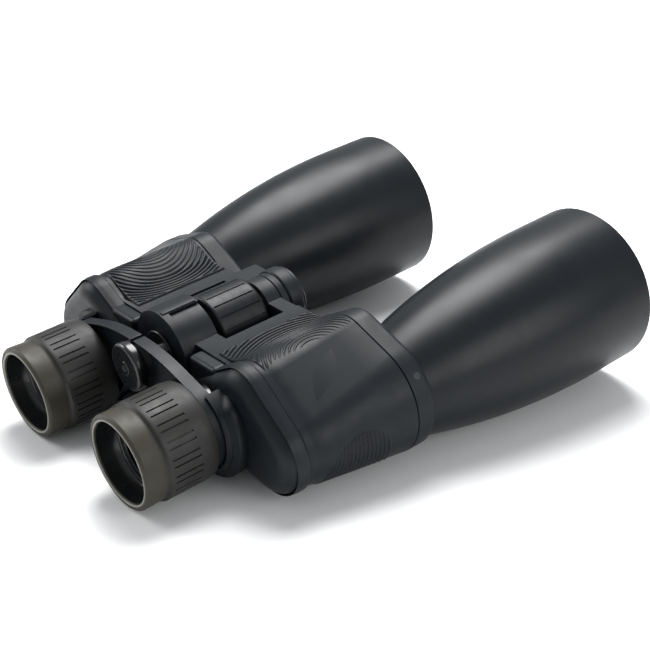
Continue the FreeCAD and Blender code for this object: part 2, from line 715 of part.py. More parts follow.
def grip_pads(prefix, side):
    """Make the two rubber pads on the top and on the outer flank of the housing."""
    rear, length = SEAM + S.pad_setback, S.housing_depth * S.pad_share
    outer = S.objective_round_front + S.pad_margin
    windows = {
        "top_grip": (EYE_X * 1.1, OBJECTIVE_X + S.pad_margin, KNEE_Z, KNEE_Z + outer),
        "side_grip": (OBJECTIVE_X + S.pad_margin * 0.7, OBJECTIVE_X + outer, OBJECTIVE_Z - outer,
                      OBJECTIVE_Z - S.pad_margin),
    }
    for word, (near, far, bottom, top) in windows.items():
        body = new_body(prefix + "_" + word + "_skin")
        low, high = span(side, near, far)
        for kind, name, grow in (("AdditiveLoft", "skin", S.pad_thickness),
                                 ("SubtractiveLoft", "core", S.pad_gap)):
            hull_loft(body, kind, name, SEAM, COLLAR, section(grow, S.objective_round_rear),
                      section(grow, S.objective_round_front), side)
        DOC.recompute()
        window = DOC.addObject("Part::Box", body.Name + "_window")
        window.Placement.Base = FreeCAD.Vector(low.value, rear.value, bottom.value)
        for corner, size in (("x", low), ("y", rear), ("z", bottom)):
            window.setExpression("Placement.Base." + corner, size.text)
        for edge, size in (("Length", high - low), ("Width", length), ("Height", top - bottom)):
            window.setExpression(edge, size.text)
        pad = DOC.addObject("Part::Common", prefix + "_" + word + "_pad")
        pad.Base = body
        pad.Tool = window
        pad.Label = prefix + "_" + word
        place(pad)


def eyepiece(prefix, side):
    """Make one eyepiece: cup, tube, lens cell, two lenses and their ring."""
    x = EYE_X * side
    gap = S.journal_gap if side > 0 else S.seat_gap
    skirt, sleeve_end = S.cup_skirt, S.cup_skirt + S.sleeve_length
    bevel = S.cup_bevel
    tube_seat = S.tube_radius + gap
    turned(prefix + "_eyecup", [
        (S.cup_bore + bevel, 0), (S.cup_radius - bevel, 0), (S.cup_radius, bevel),
        (S.cup_radius - bevel * 0.75, skirt - bevel), (S.sleeve_radius, skirt),
        (S.sleeve_radius, sleeve_end - S.sleeve_taper), (S.sleeve_radius - bevel, sleeve_end),
        (tube_seat, sleeve_end), (tube_seat, S.cup_depth),
        (tube_seat, S.cup_depth - S.cup_shelf), (S.cup_bore, bevel * 1.5)], x)
    wall = S.tube_wall
    step = TUBE_SHOULDER
    turned(prefix + "_eyepiece_tube", [
        (TUBE_BORE, S.tube_start), (S.tube_radius - bevel, S.tube_start),
        (S.tube_radius, S.tube_start + bevel), (S.tube_radius, step), (TUBE_BORE, step),
        (TUBE_BORE, S.eyepiece_reach + S.tube_end),
        (TUBE_BORE - wall, S.eyepiece_reach + S.tube_end),
        (TUBE_BORE - wall, step + wall * 0.5), (TUBE_BORE, step - wall * 0.5)], x)
    start = S.lens_cell_start
    end = start + S.lens_cell_length
    web = S.lens_cell_web
    outer = TUBE_BORE - gap
    inner = outer - S.lens_cell_wall
    edge = start + S.eye_lens_inset
    lens_front = edge + S.eye_lens_edge + S.eye_lens_bow
    turned(prefix + "_lens_cell", [
        (inner, start), (outer, start), (outer, end), (EYE_LENS_RADIUS, end),
        (EYE_LENS_RADIUS, end - web), (inner, end - web), (inner, lens_front + web),
        (EYE_LENS_RADIUS - web, lens_front + web), (EYE_LENS_RADIUS - web, lens_front),
        (inner, lens_front)], x)
    eye_bow = bow(EYE_LENS_RADIUS, S.eye_lens_bow)
    turned(prefix + "_eye_lens", [
        (0, edge - S.eye_lens_bow), (EYE_LENS_RADIUS, edge),
        (EYE_LENS_RADIUS, edge + S.eye_lens_edge), (0, lens_front - S.seat_gap)], x,
        bends={0: (eye_bow, 1),
               2: (bow(EYE_LENS_RADIUS, S.eye_lens_bow - S.seat_gap), 1)})
    ring_outer, lip = inner - S.seat_gap, EYE_LENS_RADIUS - web
    turned(prefix + "_eye_lens_ring", [
        (lip, start + web * 0.5), (ring_outer, start + web * 0.5), (ring_outer, lens_front),
        (EYE_LENS_RADIUS + S.seat_gap, lens_front),
        (EYE_LENS_RADIUS + S.seat_gap, edge - S.seat_gap), (lip, edge - web)], x)
    field_radius = inner - S.seat_gap
    field_front = end - web
    field_edge = field_front - S.field_lens_edge
    turned(prefix + "_field_lens", [
        (0, field_edge - web), (field_radius, field_edge), (field_radius, field_front),
        (0, field_front)], x, bends={0: (bow(field_radius, web), 1)})


def arm_band(body, side):
    """Add the plate that runs from the hinge roof to the eyepiece ring."""
    roof = S.hinge_rise + S.roof_radius
    ring, crest = S.arm_ring_radius, S.arm_ring_radius + S.arm_crest
    start = S.roof_gap * 0.5
    points = [
        (start, roof), (EYE_X * 0.8, crest), (EYE_X + S.arm_crest, ring - S.arm_crest * 0.3),
        (EYE_X - S.arm_crest, ring - S.arm_crest * 0.3), (EYE_X * 0.72, crest - S.arm_plate),
        (start, roof - S.arm_plate)]
    if side < 0:
        points = [(-x, z) for x, z in reversed(points)]
    sketch = new_sketch(body, "XZ_Plane", "band_sketch", ARM_REAR)
    draw_outline(sketch, points)
    extrude(body, "Pad", sketch, S.arm_depth, "band")


def bridge_arm(name, side, hub_rear, hub_front, hub_bore):
    """Make one arm: eyepiece ring, roof plate clear of the other arm's hub, and own hub."""
    body = new_body(name)
    hub = S.hub_radius + S.hub_wall
    disc(body, "Pad", "ring", ARM_REAR, ARM_FRONT, S.arm_ring_radius, EYE_X * side, 0)
    arm_band(body, side)
    disc(body, "Pocket", "clearance", ARM_FRONT, ARM_REAR, hub + S.running_gap, 0, S.hinge_rise)
    disc(body, "Pad", "hub", hub_rear, hub_front, hub, 0, S.hinge_rise)
    low, high = span(side, S.roof_gap, hub + S.hub_wall)
    block(body, "Pad", "web", hub_rear, hub_front, (low, S.hinge_rise + S.hub_wall * 1.5),
          (high, S.hinge_rise + S.roof_radius - S.roof_gap))
    disc(body, "Pocket", "hub_bore", ARM_FRONT, ARM_REAR, hub_bore, 0, S.hinge_rise)
    disc(body, "Pocket", "ring_bore", ARM_FRONT, ARM_REAR, S.tube_radius + S.seat_gap,
         EYE_X * side, 0)
    return place(body)


def bridge_parts():
    """Make the spindle, its end cap, the hub tube and both arms."""
    lift = S.hinge_rise
    rod, seat = S.spindle_radius, S.seat_gap
    cap_rear = CAP_FRONT - S.end_cap_length
    radius, bevel = S.end_cap_radius, S.end_cap_bevel
    spindle_end = WHEEL_FRONT - S.slide_in
    turned("focus_spindle", [
        (0, CAP_FRONT + seat), (rod, CAP_FRONT + seat), (rod, spindle_end - bevel),
        (rod - bevel, spindle_end), (0, spindle_end)], 0, lift)
    tube("bridge_hub", CAP_FRONT + seat, ARM_FRONT + bevel, S.hub_radius, rod + seat, 0, lift)
    turned("end_cap", [
        (0, cap_rear + bevel * 0.5), (bevel, cap_rear + bevel * 0.5), (bevel, cap_rear),
        (radius - bevel, cap_rear), (radius, cap_rear + bevel),
        (radius, CAP_FRONT - bevel * 0.4), (radius - bevel * 0.4, CAP_FRONT), (0, CAP_FRONT)],
        0, lift)
    middle = ARM_REAR + S.arm_depth * 0.5
    bridge_arm("left_arm", -1, ARM_REAR, middle - S.running_gap * 0.5, S.hub_radius + seat)
    bridge_arm("right_arm", 1, middle + S.running_gap * 0.5, ARM_FRONT,
               S.hub_radius + S.journal_gap)


def hinge_parts():
    """Make the sleeve, pin, washers, nut and wheel on the hinge axis."""
    lift = S.hinge_rise
    pin, seat = S.pin_radius, S.seat_gap
    flange = pin + S.flange_width
    turned("hinge_sleeve", [
        (SPINDLE_BORE, LUG_REAR - S.flange_length), (flange, LUG_REAR - S.flange_length),
        (flange, LUG_REAR - seat), (pin, LUG_REAR - seat), (pin, SLEEVE_FRONT),
        (SPINDLE_BORE, SLEEVE_FRONT)], 0, lift)
    pin_rear = WHEEL_FRONT + S.running_gap * 2
    socket_floor = NOSE_FRONT - S.socket_depth
    turned("hinge_pin", [
        (0, pin_rear), (pin, pin_rear), (pin, NOSE_FRONT), (S.socket_radius, NOSE_FRONT),
        (S.socket_radius, socket_floor), (0, socket_floor - S.socket_radius * 0.3)], 0, lift)
    inset = S.nut_inset
    tube("focus_nut", WHEEL_REAR + inset, WHEEL_FRONT - inset, S.nut_radius, SPINDLE_BORE, 0, lift)
    dish, bevel = S.wheel_dish, S.wheel_bevel
    rim, rim_inner, hub = S.wheel_radius, S.wheel_radius - S.wheel_rim, S.nut_radius + seat
    turned("focus_wheel", [
        (hub, WHEEL_REAR + dish), (rim_inner, WHEEL_REAR + dish), (rim_inner, WHEEL_REAR),
        (rim - bevel, WHEEL_REAR), (rim, WHEEL_REAR + bevel), (rim, WHEEL_FRONT - bevel),
        (rim - bevel, WHEEL_FRONT), (rim_inner, WHEEL_FRONT), (rim_inner, WHEEL_FRONT - dish),
        (hub, WHEEL_FRONT - dish)], 0, lift)
    washer_front = SLEEVE_FRONT + seat + S.washer_thickness
    tube("rear_thrust_washer", SLEEVE_FRONT + seat, washer_front - S.running_gap,
         S.washer_radius, S.spindle_radius + S.running_gap, 0, lift)
    tube("nose_washer", NOSE_FRONT + seat, NOSE_FRONT + S.washer_thickness,
         S.nose_radius - S.washer_thickness, S.socket_radius + S.washer_thickness, 0, lift)


def collar_screw(name, side):
    """Make the head of the grub screw that locks a barrel in its collar."""
    body = new_body(name)
    sketch = new_sketch(body, "XY_Plane", "sketch")
    draw_circle(sketch, 0, 0, S.screw_radius)
    pad = body.newObject("PartDesign::Pad", name + "_pad")
    pad.Profile = sketch
    pad.Length = S.screw_height.value
    pad.setExpression("Length", S.screw_height.text)
    tilt = FreeCAD.Rotation(FreeCAD.Vector(0, 1, 0), 52 * side)
    middle = FreeCAD.Vector((OBJECTIVE_X * side).value, (COLLAR + S.collar_depth * 0.5).value,
                            OBJECTIVE_Z.value)
    out = tilt.multVec(FreeCAD.Vector(0, 0, (S.objective_round_front + S.seat_gap).value))
    body.Placement = REST.multiply(FreeCAD.Placement(middle + out, tilt))
    PIECES.append(body)


for prefix, side in (("left", -1), ("right", 1)):
    prism_housing(prefix + "_prism_housing", side)
    rear_cover(prefix + "_rear_cover", side)
    front_collar(prefix + "_front_collar", side)
    objective_barrel(prefix + "_objective_barrel", side)
    objective_glass(prefix, side)
    prism_pair(prefix, side)
    grip_pads(prefix, side)
    eyepiece(prefix, side)
    collar_screw(prefix + "_collar_screw", side)
bridge_parts()
hinge_parts()

DOC.recompute()


def check_and_write():
    """Refuse any failed object, then write one STEP file for each piece."""
    for item in DOC.Objects:
        if "Invalid" in item.State or "Error" in item.State:
            raise RuntimeError("%s failed: %s" % (item.Label, item.State))
    labels = [piece.Label for piece in PIECES]
    if len(set(labels)) != len(labels):
        raise RuntimeError("two pieces share a label")
    for piece in PIECES:
        if piece.Shape.isNull() or not piece.Shape.isValid() or not piece.Shape.Solids:
            raise RuntimeError("%s has no valid solid" % piece.Label)
    os.makedirs("parts", exist_ok=True)
    for piece in PIECES:
        piece.Shape.exportStep(os.path.join("parts", piece.Label + ".step"))
        box = piece.Shape.BoundBox
        print("%-24s solids %d volume %9.1f" % (
            piece.Label, len(piece.Shape.Solids), piece.Shape.Volume))


check_and_write()
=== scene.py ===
"""Looks of a pair of centre-focus binoculars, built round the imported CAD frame.

Every piece is modelled in the instrument's own axes, in millimetres: +Y runs from the eyecups
to the objectives, +X to the right and +Z up, with the eyepiece axes at z = 0.  The bench then
lays the finished mesh into the frame's axes, in metres.
"""

import json
import logging
import math
from dataclasses import dataclass, field
from enum import Enum
from typing import Any, Iterable, Sequence

import bmesh
import bpy
from mathutils import Matrix, Vector

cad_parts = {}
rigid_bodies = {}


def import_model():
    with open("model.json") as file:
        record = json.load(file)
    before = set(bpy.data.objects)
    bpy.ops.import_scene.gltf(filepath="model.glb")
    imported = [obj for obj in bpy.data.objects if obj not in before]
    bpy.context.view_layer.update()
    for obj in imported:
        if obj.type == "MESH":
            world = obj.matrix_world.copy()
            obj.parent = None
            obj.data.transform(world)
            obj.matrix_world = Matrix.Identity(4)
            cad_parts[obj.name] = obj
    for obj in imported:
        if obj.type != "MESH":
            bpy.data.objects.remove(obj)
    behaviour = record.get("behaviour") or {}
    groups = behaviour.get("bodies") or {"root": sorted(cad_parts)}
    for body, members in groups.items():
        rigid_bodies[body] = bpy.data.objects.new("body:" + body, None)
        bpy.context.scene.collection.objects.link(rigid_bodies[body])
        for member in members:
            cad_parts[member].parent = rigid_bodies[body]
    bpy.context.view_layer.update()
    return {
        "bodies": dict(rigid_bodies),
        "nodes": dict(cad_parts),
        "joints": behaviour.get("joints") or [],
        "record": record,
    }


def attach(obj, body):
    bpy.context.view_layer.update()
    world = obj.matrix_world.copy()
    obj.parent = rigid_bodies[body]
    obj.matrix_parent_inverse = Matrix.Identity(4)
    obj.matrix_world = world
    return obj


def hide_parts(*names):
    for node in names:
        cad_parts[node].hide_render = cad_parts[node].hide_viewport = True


LOG = logging.getLogger("binoculars")
FULL_TURN = 2.0 * math.pi
Span = tuple[float, float]
Profile = Sequence[Span]
Colour = tuple[float, float, float]
Place = tuple[float, float, float]


class Side(Enum):
    """The two halves of the instrument."""

    LEFT = -1
    RIGHT = 1

    @property
    def prefix(self) -> str:
        """Start of the names of this half's pieces."""
        return "left_" if self is Side.LEFT else "right_"

    @property
    def half(self) -> str:
        """Body that carries this half's housing."""
        return self.prefix + "half"

    @property
    def cup_body(self) -> str:
        """Body that carries this half's eyecup."""
        return "bridge" if self is Side.LEFT else "right_eyecup"

    @property
    def tube_body(self) -> str:
        """Body that carries this half's eyepiece tube."""
        return "bridge" if self is Side.LEFT else "right_arm"


# ---------------------------------------------------------------------------------------------
# Finishes


class NodeBench:
    """Lays out one material's nodes round its Principled shader."""

    def __init__(self, name: str) -> None:
        """Start a material on the piece's own coordinates.

        Args:
            name: The material's name.
        """
        self.material = bpy.data.materials.new(name)
        self.material.use_nodes = True
        self.tree = self.material.node_tree
        self.shader = self.tree.nodes["Principled BSDF"]
        self.place = self.tree.nodes.new("ShaderNodeTexCoord").outputs["Object"]

    def fill(self, node: bpy.types.Node, inputs: dict[str, Any]) -> None:
        """Link a node's inputs to sockets, or set them to plain values.

        Args:
            node: The node to fill.
            inputs: Sockets and values by input name.
        """
        for name, value in inputs.items():
            if isinstance(value, bpy.types.NodeSocket):
                self.tree.links.new(value, node.inputs[name])
            else:
                node.inputs[name].default_value = value

    def add(self, kind: str, output: str, inputs: dict[str, Any]) -> Any:
        """Add a node and hand on one of its outputs.

        Args:
            kind: The node's type.
            output: Name of the output.
            inputs: Sockets and values by input name.

        Returns:
            The output socket.
        """
        node = self.tree.nodes.new(kind)
        self.fill(node, inputs)
        return node.outputs[output]

    def noise(self, scale: float, detail: float = 3.0, stretch: Sequence[float] = ()) -> Any:
        """Add a noise pattern.

        Args:
            scale: Cycles per metre.
            detail: Octaves of finer noise.
            stretch: Scale along each axis, for brushed or drawn marks.

        Returns:
            The noise value socket.
        """
        source = self.place
        if stretch:
            source = self.add("ShaderNodeMapping", "Vector", {"Vector": source, "Scale": stretch})
        return self.add("ShaderNodeTexNoise", "Fac",
                        {"Vector": source, "Scale": scale, "Detail": detail})

    def spread(self, value: Any, low: float = 0.0, high: float = 1.0) -> Any:
        """Map the useful middle of a noise to a range.

        Args:
            value: The noise socket.
            low: Result at the noise's dark end.
            high: Result at its bright end.

        Returns:
            The mapped value socket.
        """
        return self.add("ShaderNodeMapRange", "Result", {
            "Value": value, "From Min": 0.3, "From Max": 0.7, "To Min": low, "To Max": high})

    def blend(self, value: Any, first: Any, second: Any) -> Any:
        """Blend two colours by a value.

        Args:
            value: The socket that drives the blend.
            first: Colour at 0, or a socket for it.
            second: Colour at 1, or a socket for it.

        Returns:
            The colour socket.
        """
        node = self.tree.nodes.new("ShaderNodeMix")
        node.data_type = "RGBA"
        low, high = ((*end, 1.0) if isinstance(end, tuple) else end for end in (first, second))
        self.fill(node, {"Factor": value, "A": low, "B": high})
        return node.outputs["Result"]

    def bump(self, value: Any, height: float, below: Any = None) -> Any:
        """Add surface relief.

        Args:
            value: Height pattern from 0 to 1.
            height: Relief in metres.
            below: Normal socket of a coarser relief under this one.

        Returns:
            The normal socket.
        """
        inputs = {"Height": value, "Distance": height}
        if below is not None:
            inputs["Normal"] = below
        return self.add("ShaderNodeBump", "Normal", inputs)

    def finish(self, inputs: dict[str, Any]) -> bpy.types.Material:
        """Fill the shader.

        Args:
            inputs: Sockets and values by input name.

        Returns:
            The finished material.
        """
        self.fill(self.shader, inputs)
        return self.material


@dataclass(frozen=True)
class EnamelFinish:
    """Painted or anodised metal, or moulded rubber, with a fine grain and a soft mottle."""

    name: str
    colour: Colour
    worn: Colour
    gloss: Span = (0.36, 0.5)
    grain: float = 1400.0
    relief: float = 0.00003
    mottle: float = 40.0
    coat: float = 0.0
    coat_roughness: float = 0.12
    specular: float = 0.22

    def build(self) -> bpy.types.Material:
        """Make the material."""
        bench = NodeBench(self.name)
        broad = bench.noise(self.mottle, 4.0)
        coarse = bench.bump(broad, self.relief * 2.0)
        return bench.finish({
            "Base Color": bench.blend(bench.spread(broad), self.colour, self.worn),
            "Roughness": bench.spread(bench.noise(self.mottle * 3.1, 5.0), *self.gloss),
            "Normal": bench.bump(bench.noise(self.grain, 2.0), self.relief, coarse),
            "Coat Weight": self.coat,
            "Coat Roughness": self.coat_roughness,
            "Specular IOR Level": self.specular})


@dataclass(frozen=True)
class CupFinish:
    """Moulded rubber that is olive at the lip and darker along the ribbed sleeve."""

    name: str
    lip: Colour
    lip_worn: Colour
    sleeve: Colour
    sleeve_worn: Colour
    gloss: Span = (0.42, 0.56)
    turn: float = math.radians(-5.89026)
    change: Span = (-0.1040, -0.1005)
    specular: float = 0.3

    def build(self) -> bpy.types.Material:
        """Make the material, with its colour changing along the eyepiece."""
        bench = NodeBench(self.name)
        tone = bench.spread(bench.noise(60.0, 4.0))
        turned = bench.add("ShaderNodeMapping", "Vector",
                           {"Vector": bench.place, "Rotation": (self.turn, 0.0, 0.0)})
        along = bench.tree.nodes.new("ShaderNodeMapRange")
        along.interpolation_type = "SMOOTHSTEP"
        bench.fill(along, {
            "Value": bench.add("ShaderNodeSeparateXYZ", "Y", {"Vector": turned}),
            "From Min": self.change[0], "From Max": self.change[1]})
        olive = bench.blend(tone, self.lip, self.lip_worn)
        dark = bench.blend(tone, self.sleeve, self.sleeve_worn)
        return bench.finish({
            "Base Color": bench.blend(along.outputs["Result"], olive, dark),
            "Roughness": bench.spread(bench.noise(180.0, 5.0), *self.gloss),
            "Normal": bench.bump(bench.noise(2200.0, 2.0), 0.00002),
            "Specular IOR Level": self.specular})


@dataclass(frozen=True)
class MachinedFinish:
    """Bare metal with turning or brushing marks."""

    name: str
    colour: Colour
    worn: Colour
    gloss: Span = (0.22, 0.4)
    marks: float = 900.0
    relief: float = 0.000012
    stretch: Place = (1.0, 0.06, 1.0)

    def build(self) -> bpy.types.Material:
        """Make the material."""
        bench = NodeBench(self.name)
        marks = bench.noise(self.marks, 3.0, self.stretch)
        return bench.finish({
            "Base Color": bench.blend(bench.spread(bench.noise(70.0)), self.colour, self.worn),
            "Roughness": bench.spread(marks, *self.gloss),
            "Normal": bench.bump(marks, self.relief),
            "Metallic": 1.0})


@dataclass(frozen=True)
class GlassFinish:
    """Polished lens or prism glass with a tinted anti-reflection coating."""

    name: str
    tint: Colour
    coating: Colour
    coat: float = 1.0
    bend: float = 1.52

    def build(self) -> bpy.types.Material:
        """Make the material."""
        bench = NodeBench(self.name)
        bloom = bench.spread(bench.noise(22.0, 2.0))
        fainter = tuple(0.8 * part for part in self.tint)
        return bench.finish({
            "Base Color": bench.blend(bloom, self.tint, fainter),
            "Roughness": bench.spread(bench.noise(500.0, 6.0), 0.01, 0.05),
            "Transmission Weight": 1.0,
            "IOR": self.bend,
            "Coat Weight": self.coat,
            "Coat Roughness": 0.03,
            "Coat Tint": (*self.coating, 1.0),
            "Specular Tint": (*self.coating, 1.0)})


class Finish(Enum):
    """Finishes by the record's material slots, and the extra ones for new pieces."""

    BODY_ENAMEL = EnamelFinish(
        "body_enamel", (0.0046, 0.0070, 0.0098), (0.0068, 0.0096, 0.0128),
        gloss=(0.40, 0.50), grain=2600.0, relief=0.00002)
    BARREL_COVERING = EnamelFinish(
        "barrel_covering", (0.0040, 0.0060, 0.0084), (0.0056, 0.0078, 0.0104),
        gloss=(0.33, 0.40), grain=3200.0, relief=0.000012, mottle=25.0)
    GLOSS_BLACK_METAL = EnamelFinish(
        "gloss_black_metal", (0.0060, 0.0064, 0.0072), (0.0090, 0.0095, 0.0105),
        gloss=(0.22, 0.28), grain=2400.0, relief=0.0000012, coat=0.2, specular=0.4)
    MATT_BLACK_METAL = EnamelFinish(
        "matt_black_metal", (0.0050, 0.0052, 0.0058), (0.0080, 0.0083, 0.0090),
        gloss=(0.45, 0.6), grain=3000.0, relief=0.00001)
    GRIP_RUBBER = EnamelFinish(
        "grip_rubber", (0.0042, 0.0062, 0.0088), (0.0062, 0.0085, 0.0114),
        gloss=(0.36, 0.47), grain=2600.0, relief=0.00001)
    EYECUP_RUBBER = CupFinish(
        "eyecup_rubber", (0.0270, 0.0245, 0.0160), (0.0360, 0.0320, 0.0210),
        (0.0150, 0.0150, 0.0140), (0.0190, 0.0188, 0.0170))
    WHEEL_COVERING = EnamelFinish(
        "wheel_covering", (0.0044, 0.0062, 0.0084), (0.0068, 0.0088, 0.0114),
        gloss=(0.34, 0.46), grain=2200.0, relief=0.00002, mottle=90.0)
    # Pale colour of the eyecup's lip bead: a painted highlight standing in for the glint along the
    # rounded lip, not the rubber's own colour.
    LIP_HIGHLIGHT = EnamelFinish(
        "lip_painted_highlight", (0.2300, 0.2200, 0.1900), (0.3200, 0.3100, 0.2700),
        gloss=(0.4, 0.5), grain=2200.0, relief=0.00001)
    BARE_ALUMINIUM = MachinedFinish("bare_aluminium", (0.60, 0.60, 0.61), (0.70, 0.70, 0.71))
    SPRING_STEEL = MachinedFinish(
        "spring_steel", (0.42, 0.42, 0.43), (0.52, 0.52, 0.53), gloss=(0.2, 0.35))
    NUT_BRASS = MachinedFinish("nut_brass", (0.62, 0.44, 0.18), (0.72, 0.54, 0.25))
    OBJECTIVE_GLASS = GlassFinish(
        "objective_glass", (0.07, 0.06, 0.13), (0.78, 0.62, 1.0), coat=0.35)
    EYEPIECE_GLASS = GlassFinish("eyepiece_glass", (0.30, 0.34, 0.36), (0.75, 0.85, 1.0))
    OPTICAL_GLASS = GlassFinish("optical_glass", (0.90, 0.95, 0.95), (0.80, 0.90, 1.0), coat=0.3)

    @property
    def slot(self) -> str:
        """The record's material slot."""
        return "eyecup_rubber" if self is Finish.LIP_HIGHLIGHT else self.value.name


class Paintbox:
    """Makes each finish once and hands it out."""

    def __init__(self) -> None:
        """Build every finish."""
        self.materials = {finish: finish.value.build() for finish in Finish}
        self.by_slot = {finish.value.name: finish for finish in Finish}

    def dress_frame(self, frame: dict) -> None:
        """Give every carried-over CAD node the finish of its record slot.

        Args:
            frame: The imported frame.
        """
        for part in frame["record"]["subparts"]:
            finish = self.by_slot[part["material_slot"]]
            node = frame["nodes"][part["node"]]
            for slot in node.material_slots:
                slot.material = self.materials[finish]


# ---------------------------------------------------------------------------------------------
# The bench: axes, and how a finished mesh joins the frame


def stand(name: str, data: bpy.types.ID) -> bpy.types.Object:
    """Put a mesh, light or camera into the scene."""
    thing = bpy.data.objects.new(name, data)
    bpy.context.scene.collection.objects.link(thing)
    return thing


class Bench:
    """Holds the frame, the instrument's axes and the finishes, and mounts finished pieces."""

    def __init__(self, frame: dict) -> None:
        """Find the instrument's axes from the hinge and the right eyepiece.

        Args:
            frame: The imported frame.
        """
        self.frame = frame
        self.paints = Paintbox()
        self.paints.dress_frame(frame)
        joints = {joint["name"]: joint for joint in frame["joints"]}
        eye = Vector(joints["dioptre_turn"]["pos_m"])
        hinge = Vector(joints["interpupillary_hinge"]["pos_m"])
        along = Vector(joints["dioptre_turn"]["axis"]).normalized()
        across = Vector((1.0, 0.0, 0.0))
        turn = Matrix((across, along, across.cross(along))).transposed().to_4x4()
        origin = Vector((0.0, eye.y, eye.z))
        self.axes = Matrix.Translation(origin) @ turn @ Matrix.Scale(0.001, 4)
        self.to_axes = self.axes.inverted()
        self.eye_x = eye.x * 1000.0
        self.hinge_z = (self.to_axes @ hinge).z

    def extent(self, node: str) -> tuple[Vector, Vector]:
        """Measure a CAD node in the instrument's axes.

        Args:
            node: The node's name.

        Returns:
            Its lowest and highest corner, in millimetres.
        """
        points = [self.to_axes @ vertex.co for vertex in self.frame["nodes"][node].data.vertices]
        low = Vector(min(point[axis] for point in points) for axis in range(3))
        high = Vector(max(point[axis] for point in points) for axis in range(3))
        return low, high

    def mount(self, mesh: bmesh.types.BMesh, name: str, body: str, finish: Finish,
              replaces: Sequence[str] = (), sharp: float = 34.0) -> bpy.types.Object:
        """Turn a finished bmesh into a piece that rides on a body.

        Args:
            mesh: The modelled mesh, in the instrument's axes.
            name: The piece's name.
            body: The CAD body it moves with.
            finish: Its finish.
            replaces: CAD nodes it stands for.
            sharp: Edges sharper than this many degrees stay crisp.

        Returns:
            The mounted piece.
        """
        bmesh.ops.transform(mesh, matrix=self.axes, verts=mesh.verts)
        data = bpy.data.meshes.new(name)
        mesh.to_mesh(data)
        mesh.free()
        data.polygons.foreach_set("use_smooth", [True] * len(data.polygons))
        data.set_sharp_from_angle(angle=math.radians(sharp))
        data.materials.append(self.paints.materials[finish])
        piece = stand(name, data)
        piece.modifiers.new("shade", "WEIGHTED_NORMAL").keep_sharp = True
        finish.slot
        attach(piece, body)
        if replaces:
            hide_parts(*replaces)
        LOG.info("%s rides on %s, %d faces", name, body, len(data.polygons))
        return piece


# ---------------------------------------------------------------------------------------------
# Workshop operations shared by the sub-assemblies


def settle(mesh: bmesh.types.BMesh) -> None:
    """Merge doubled points and turn every face outwards."""
    bmesh.ops.remove_doubles(mesh, verts=mesh.verts, dist=0.0005)
    bmesh.ops.dissolve_degenerate(mesh, edges=mesh.edges, dist=0.0005)
    bmesh.ops.recalc_face_normals(mesh, faces=mesh.faces)


def lathe(mesh: bmesh.types.BMesh, profile: Profile, x: float = 0.0, z: float = 0.0,
          steps: int = 128) -> None:
    """Spin a closed profile about an axis along Y.

    Args:
        mesh: The mesh to add to.
        profile: Points as (radius, station).
        x: Axis position across.
        z: Axis height.
        steps: Faces round the turn.
    """
    verts = [mesh.verts.new((x + radius, station, z)) for radius, station in profile]
    edges = [mesh.edges.new(pair) for pair in zip(verts, verts[1:] + verts[:1])]
    bmesh.ops.spin(mesh, geom=verts + edges, cent=(x, 0.0, z), axis=(0.0, 1.0, 0.0),
                   angle=FULL_TURN, steps=steps, use_merge=True)
    settle(mesh)


def soften(mesh: bmesh.types.BMesh, width: float, degrees: float = 40.0,
           segments: int = 3) -> None:
    """Round the sharp edges of a mesh.

    Args:
        mesh: The mesh to change.
        width: Bevel width in millimetres.
        degrees: Only edges that turn more than this are rounded.
        segments: Faces across each rounding.
    """
    limit = math.radians(degrees)
    edges = [edge for edge in mesh.edges
             if len(edge.link_faces) == 2 and edge.calc_face_angle(0.0) > limit]
    bmesh.ops.bevel(mesh, geom=edges, offset=width, offset_type="OFFSET", affect="EDGES",
                    segments=segments, profile=0.5, material=-1, clamp_overlap=True)


def arc(centre: Span, radius: float, start: float, stop: float,
        steps: int) -> list[Span]:
    """Points of an arc in a profile plane.

    Args:
        centre: Centre as (radius, station).
        radius: The arc's radius.
        start: First angle in degrees, from the radius axis towards +Y.
        stop: Last angle in degrees.
        steps: Number of chords.

    Returns:
        The points, both ends included.
    """
    angles = [math.radians(start + (stop - start) * step / steps) for step in range(steps + 1)]
    return [(centre[0] + radius * math.cos(angle), centre[1] + radius * math.sin(angle))
            for angle in angles]


def ease(value: float, low: float, high: float) -> float:
    """Return 0 below low, 1 above high, and a smooth rise between."""
    share = min(1.0, max(0.0, (value - low) / (high - low)))
    return share * share * (3.0 - 2.0 * share)


def add_block(mesh: bmesh.types.BMesh, low: Vector, high: Vector) -> None:
    """Add a box between two corners."""
    bmesh.ops.create_cube(mesh, size=1.0)
    bmesh.ops.scale(mesh, vec=high - low, verts=mesh.verts)
    bmesh.ops.translate(mesh, vec=(low + high) / 2.0, verts=mesh.verts)


def ring_profile(inner: float, outer: float, rear: float, front: float,
                 bevel: float) -> list[Span]:
    """Outline a ring's section, with its outer corners bevelled.

    Args:
        inner: Bore radius.
        outer: Outer radius.
        rear: Station of its rear face.
        front: Station of its front face.
        bevel: Width of the bevels.

    Returns:
        Points as (radius, station).
    """
    return [(inner, rear), (outer - bevel, rear), (outer, rear + bevel),
            (outer, front - bevel), (outer - bevel, front), (inner, front)]


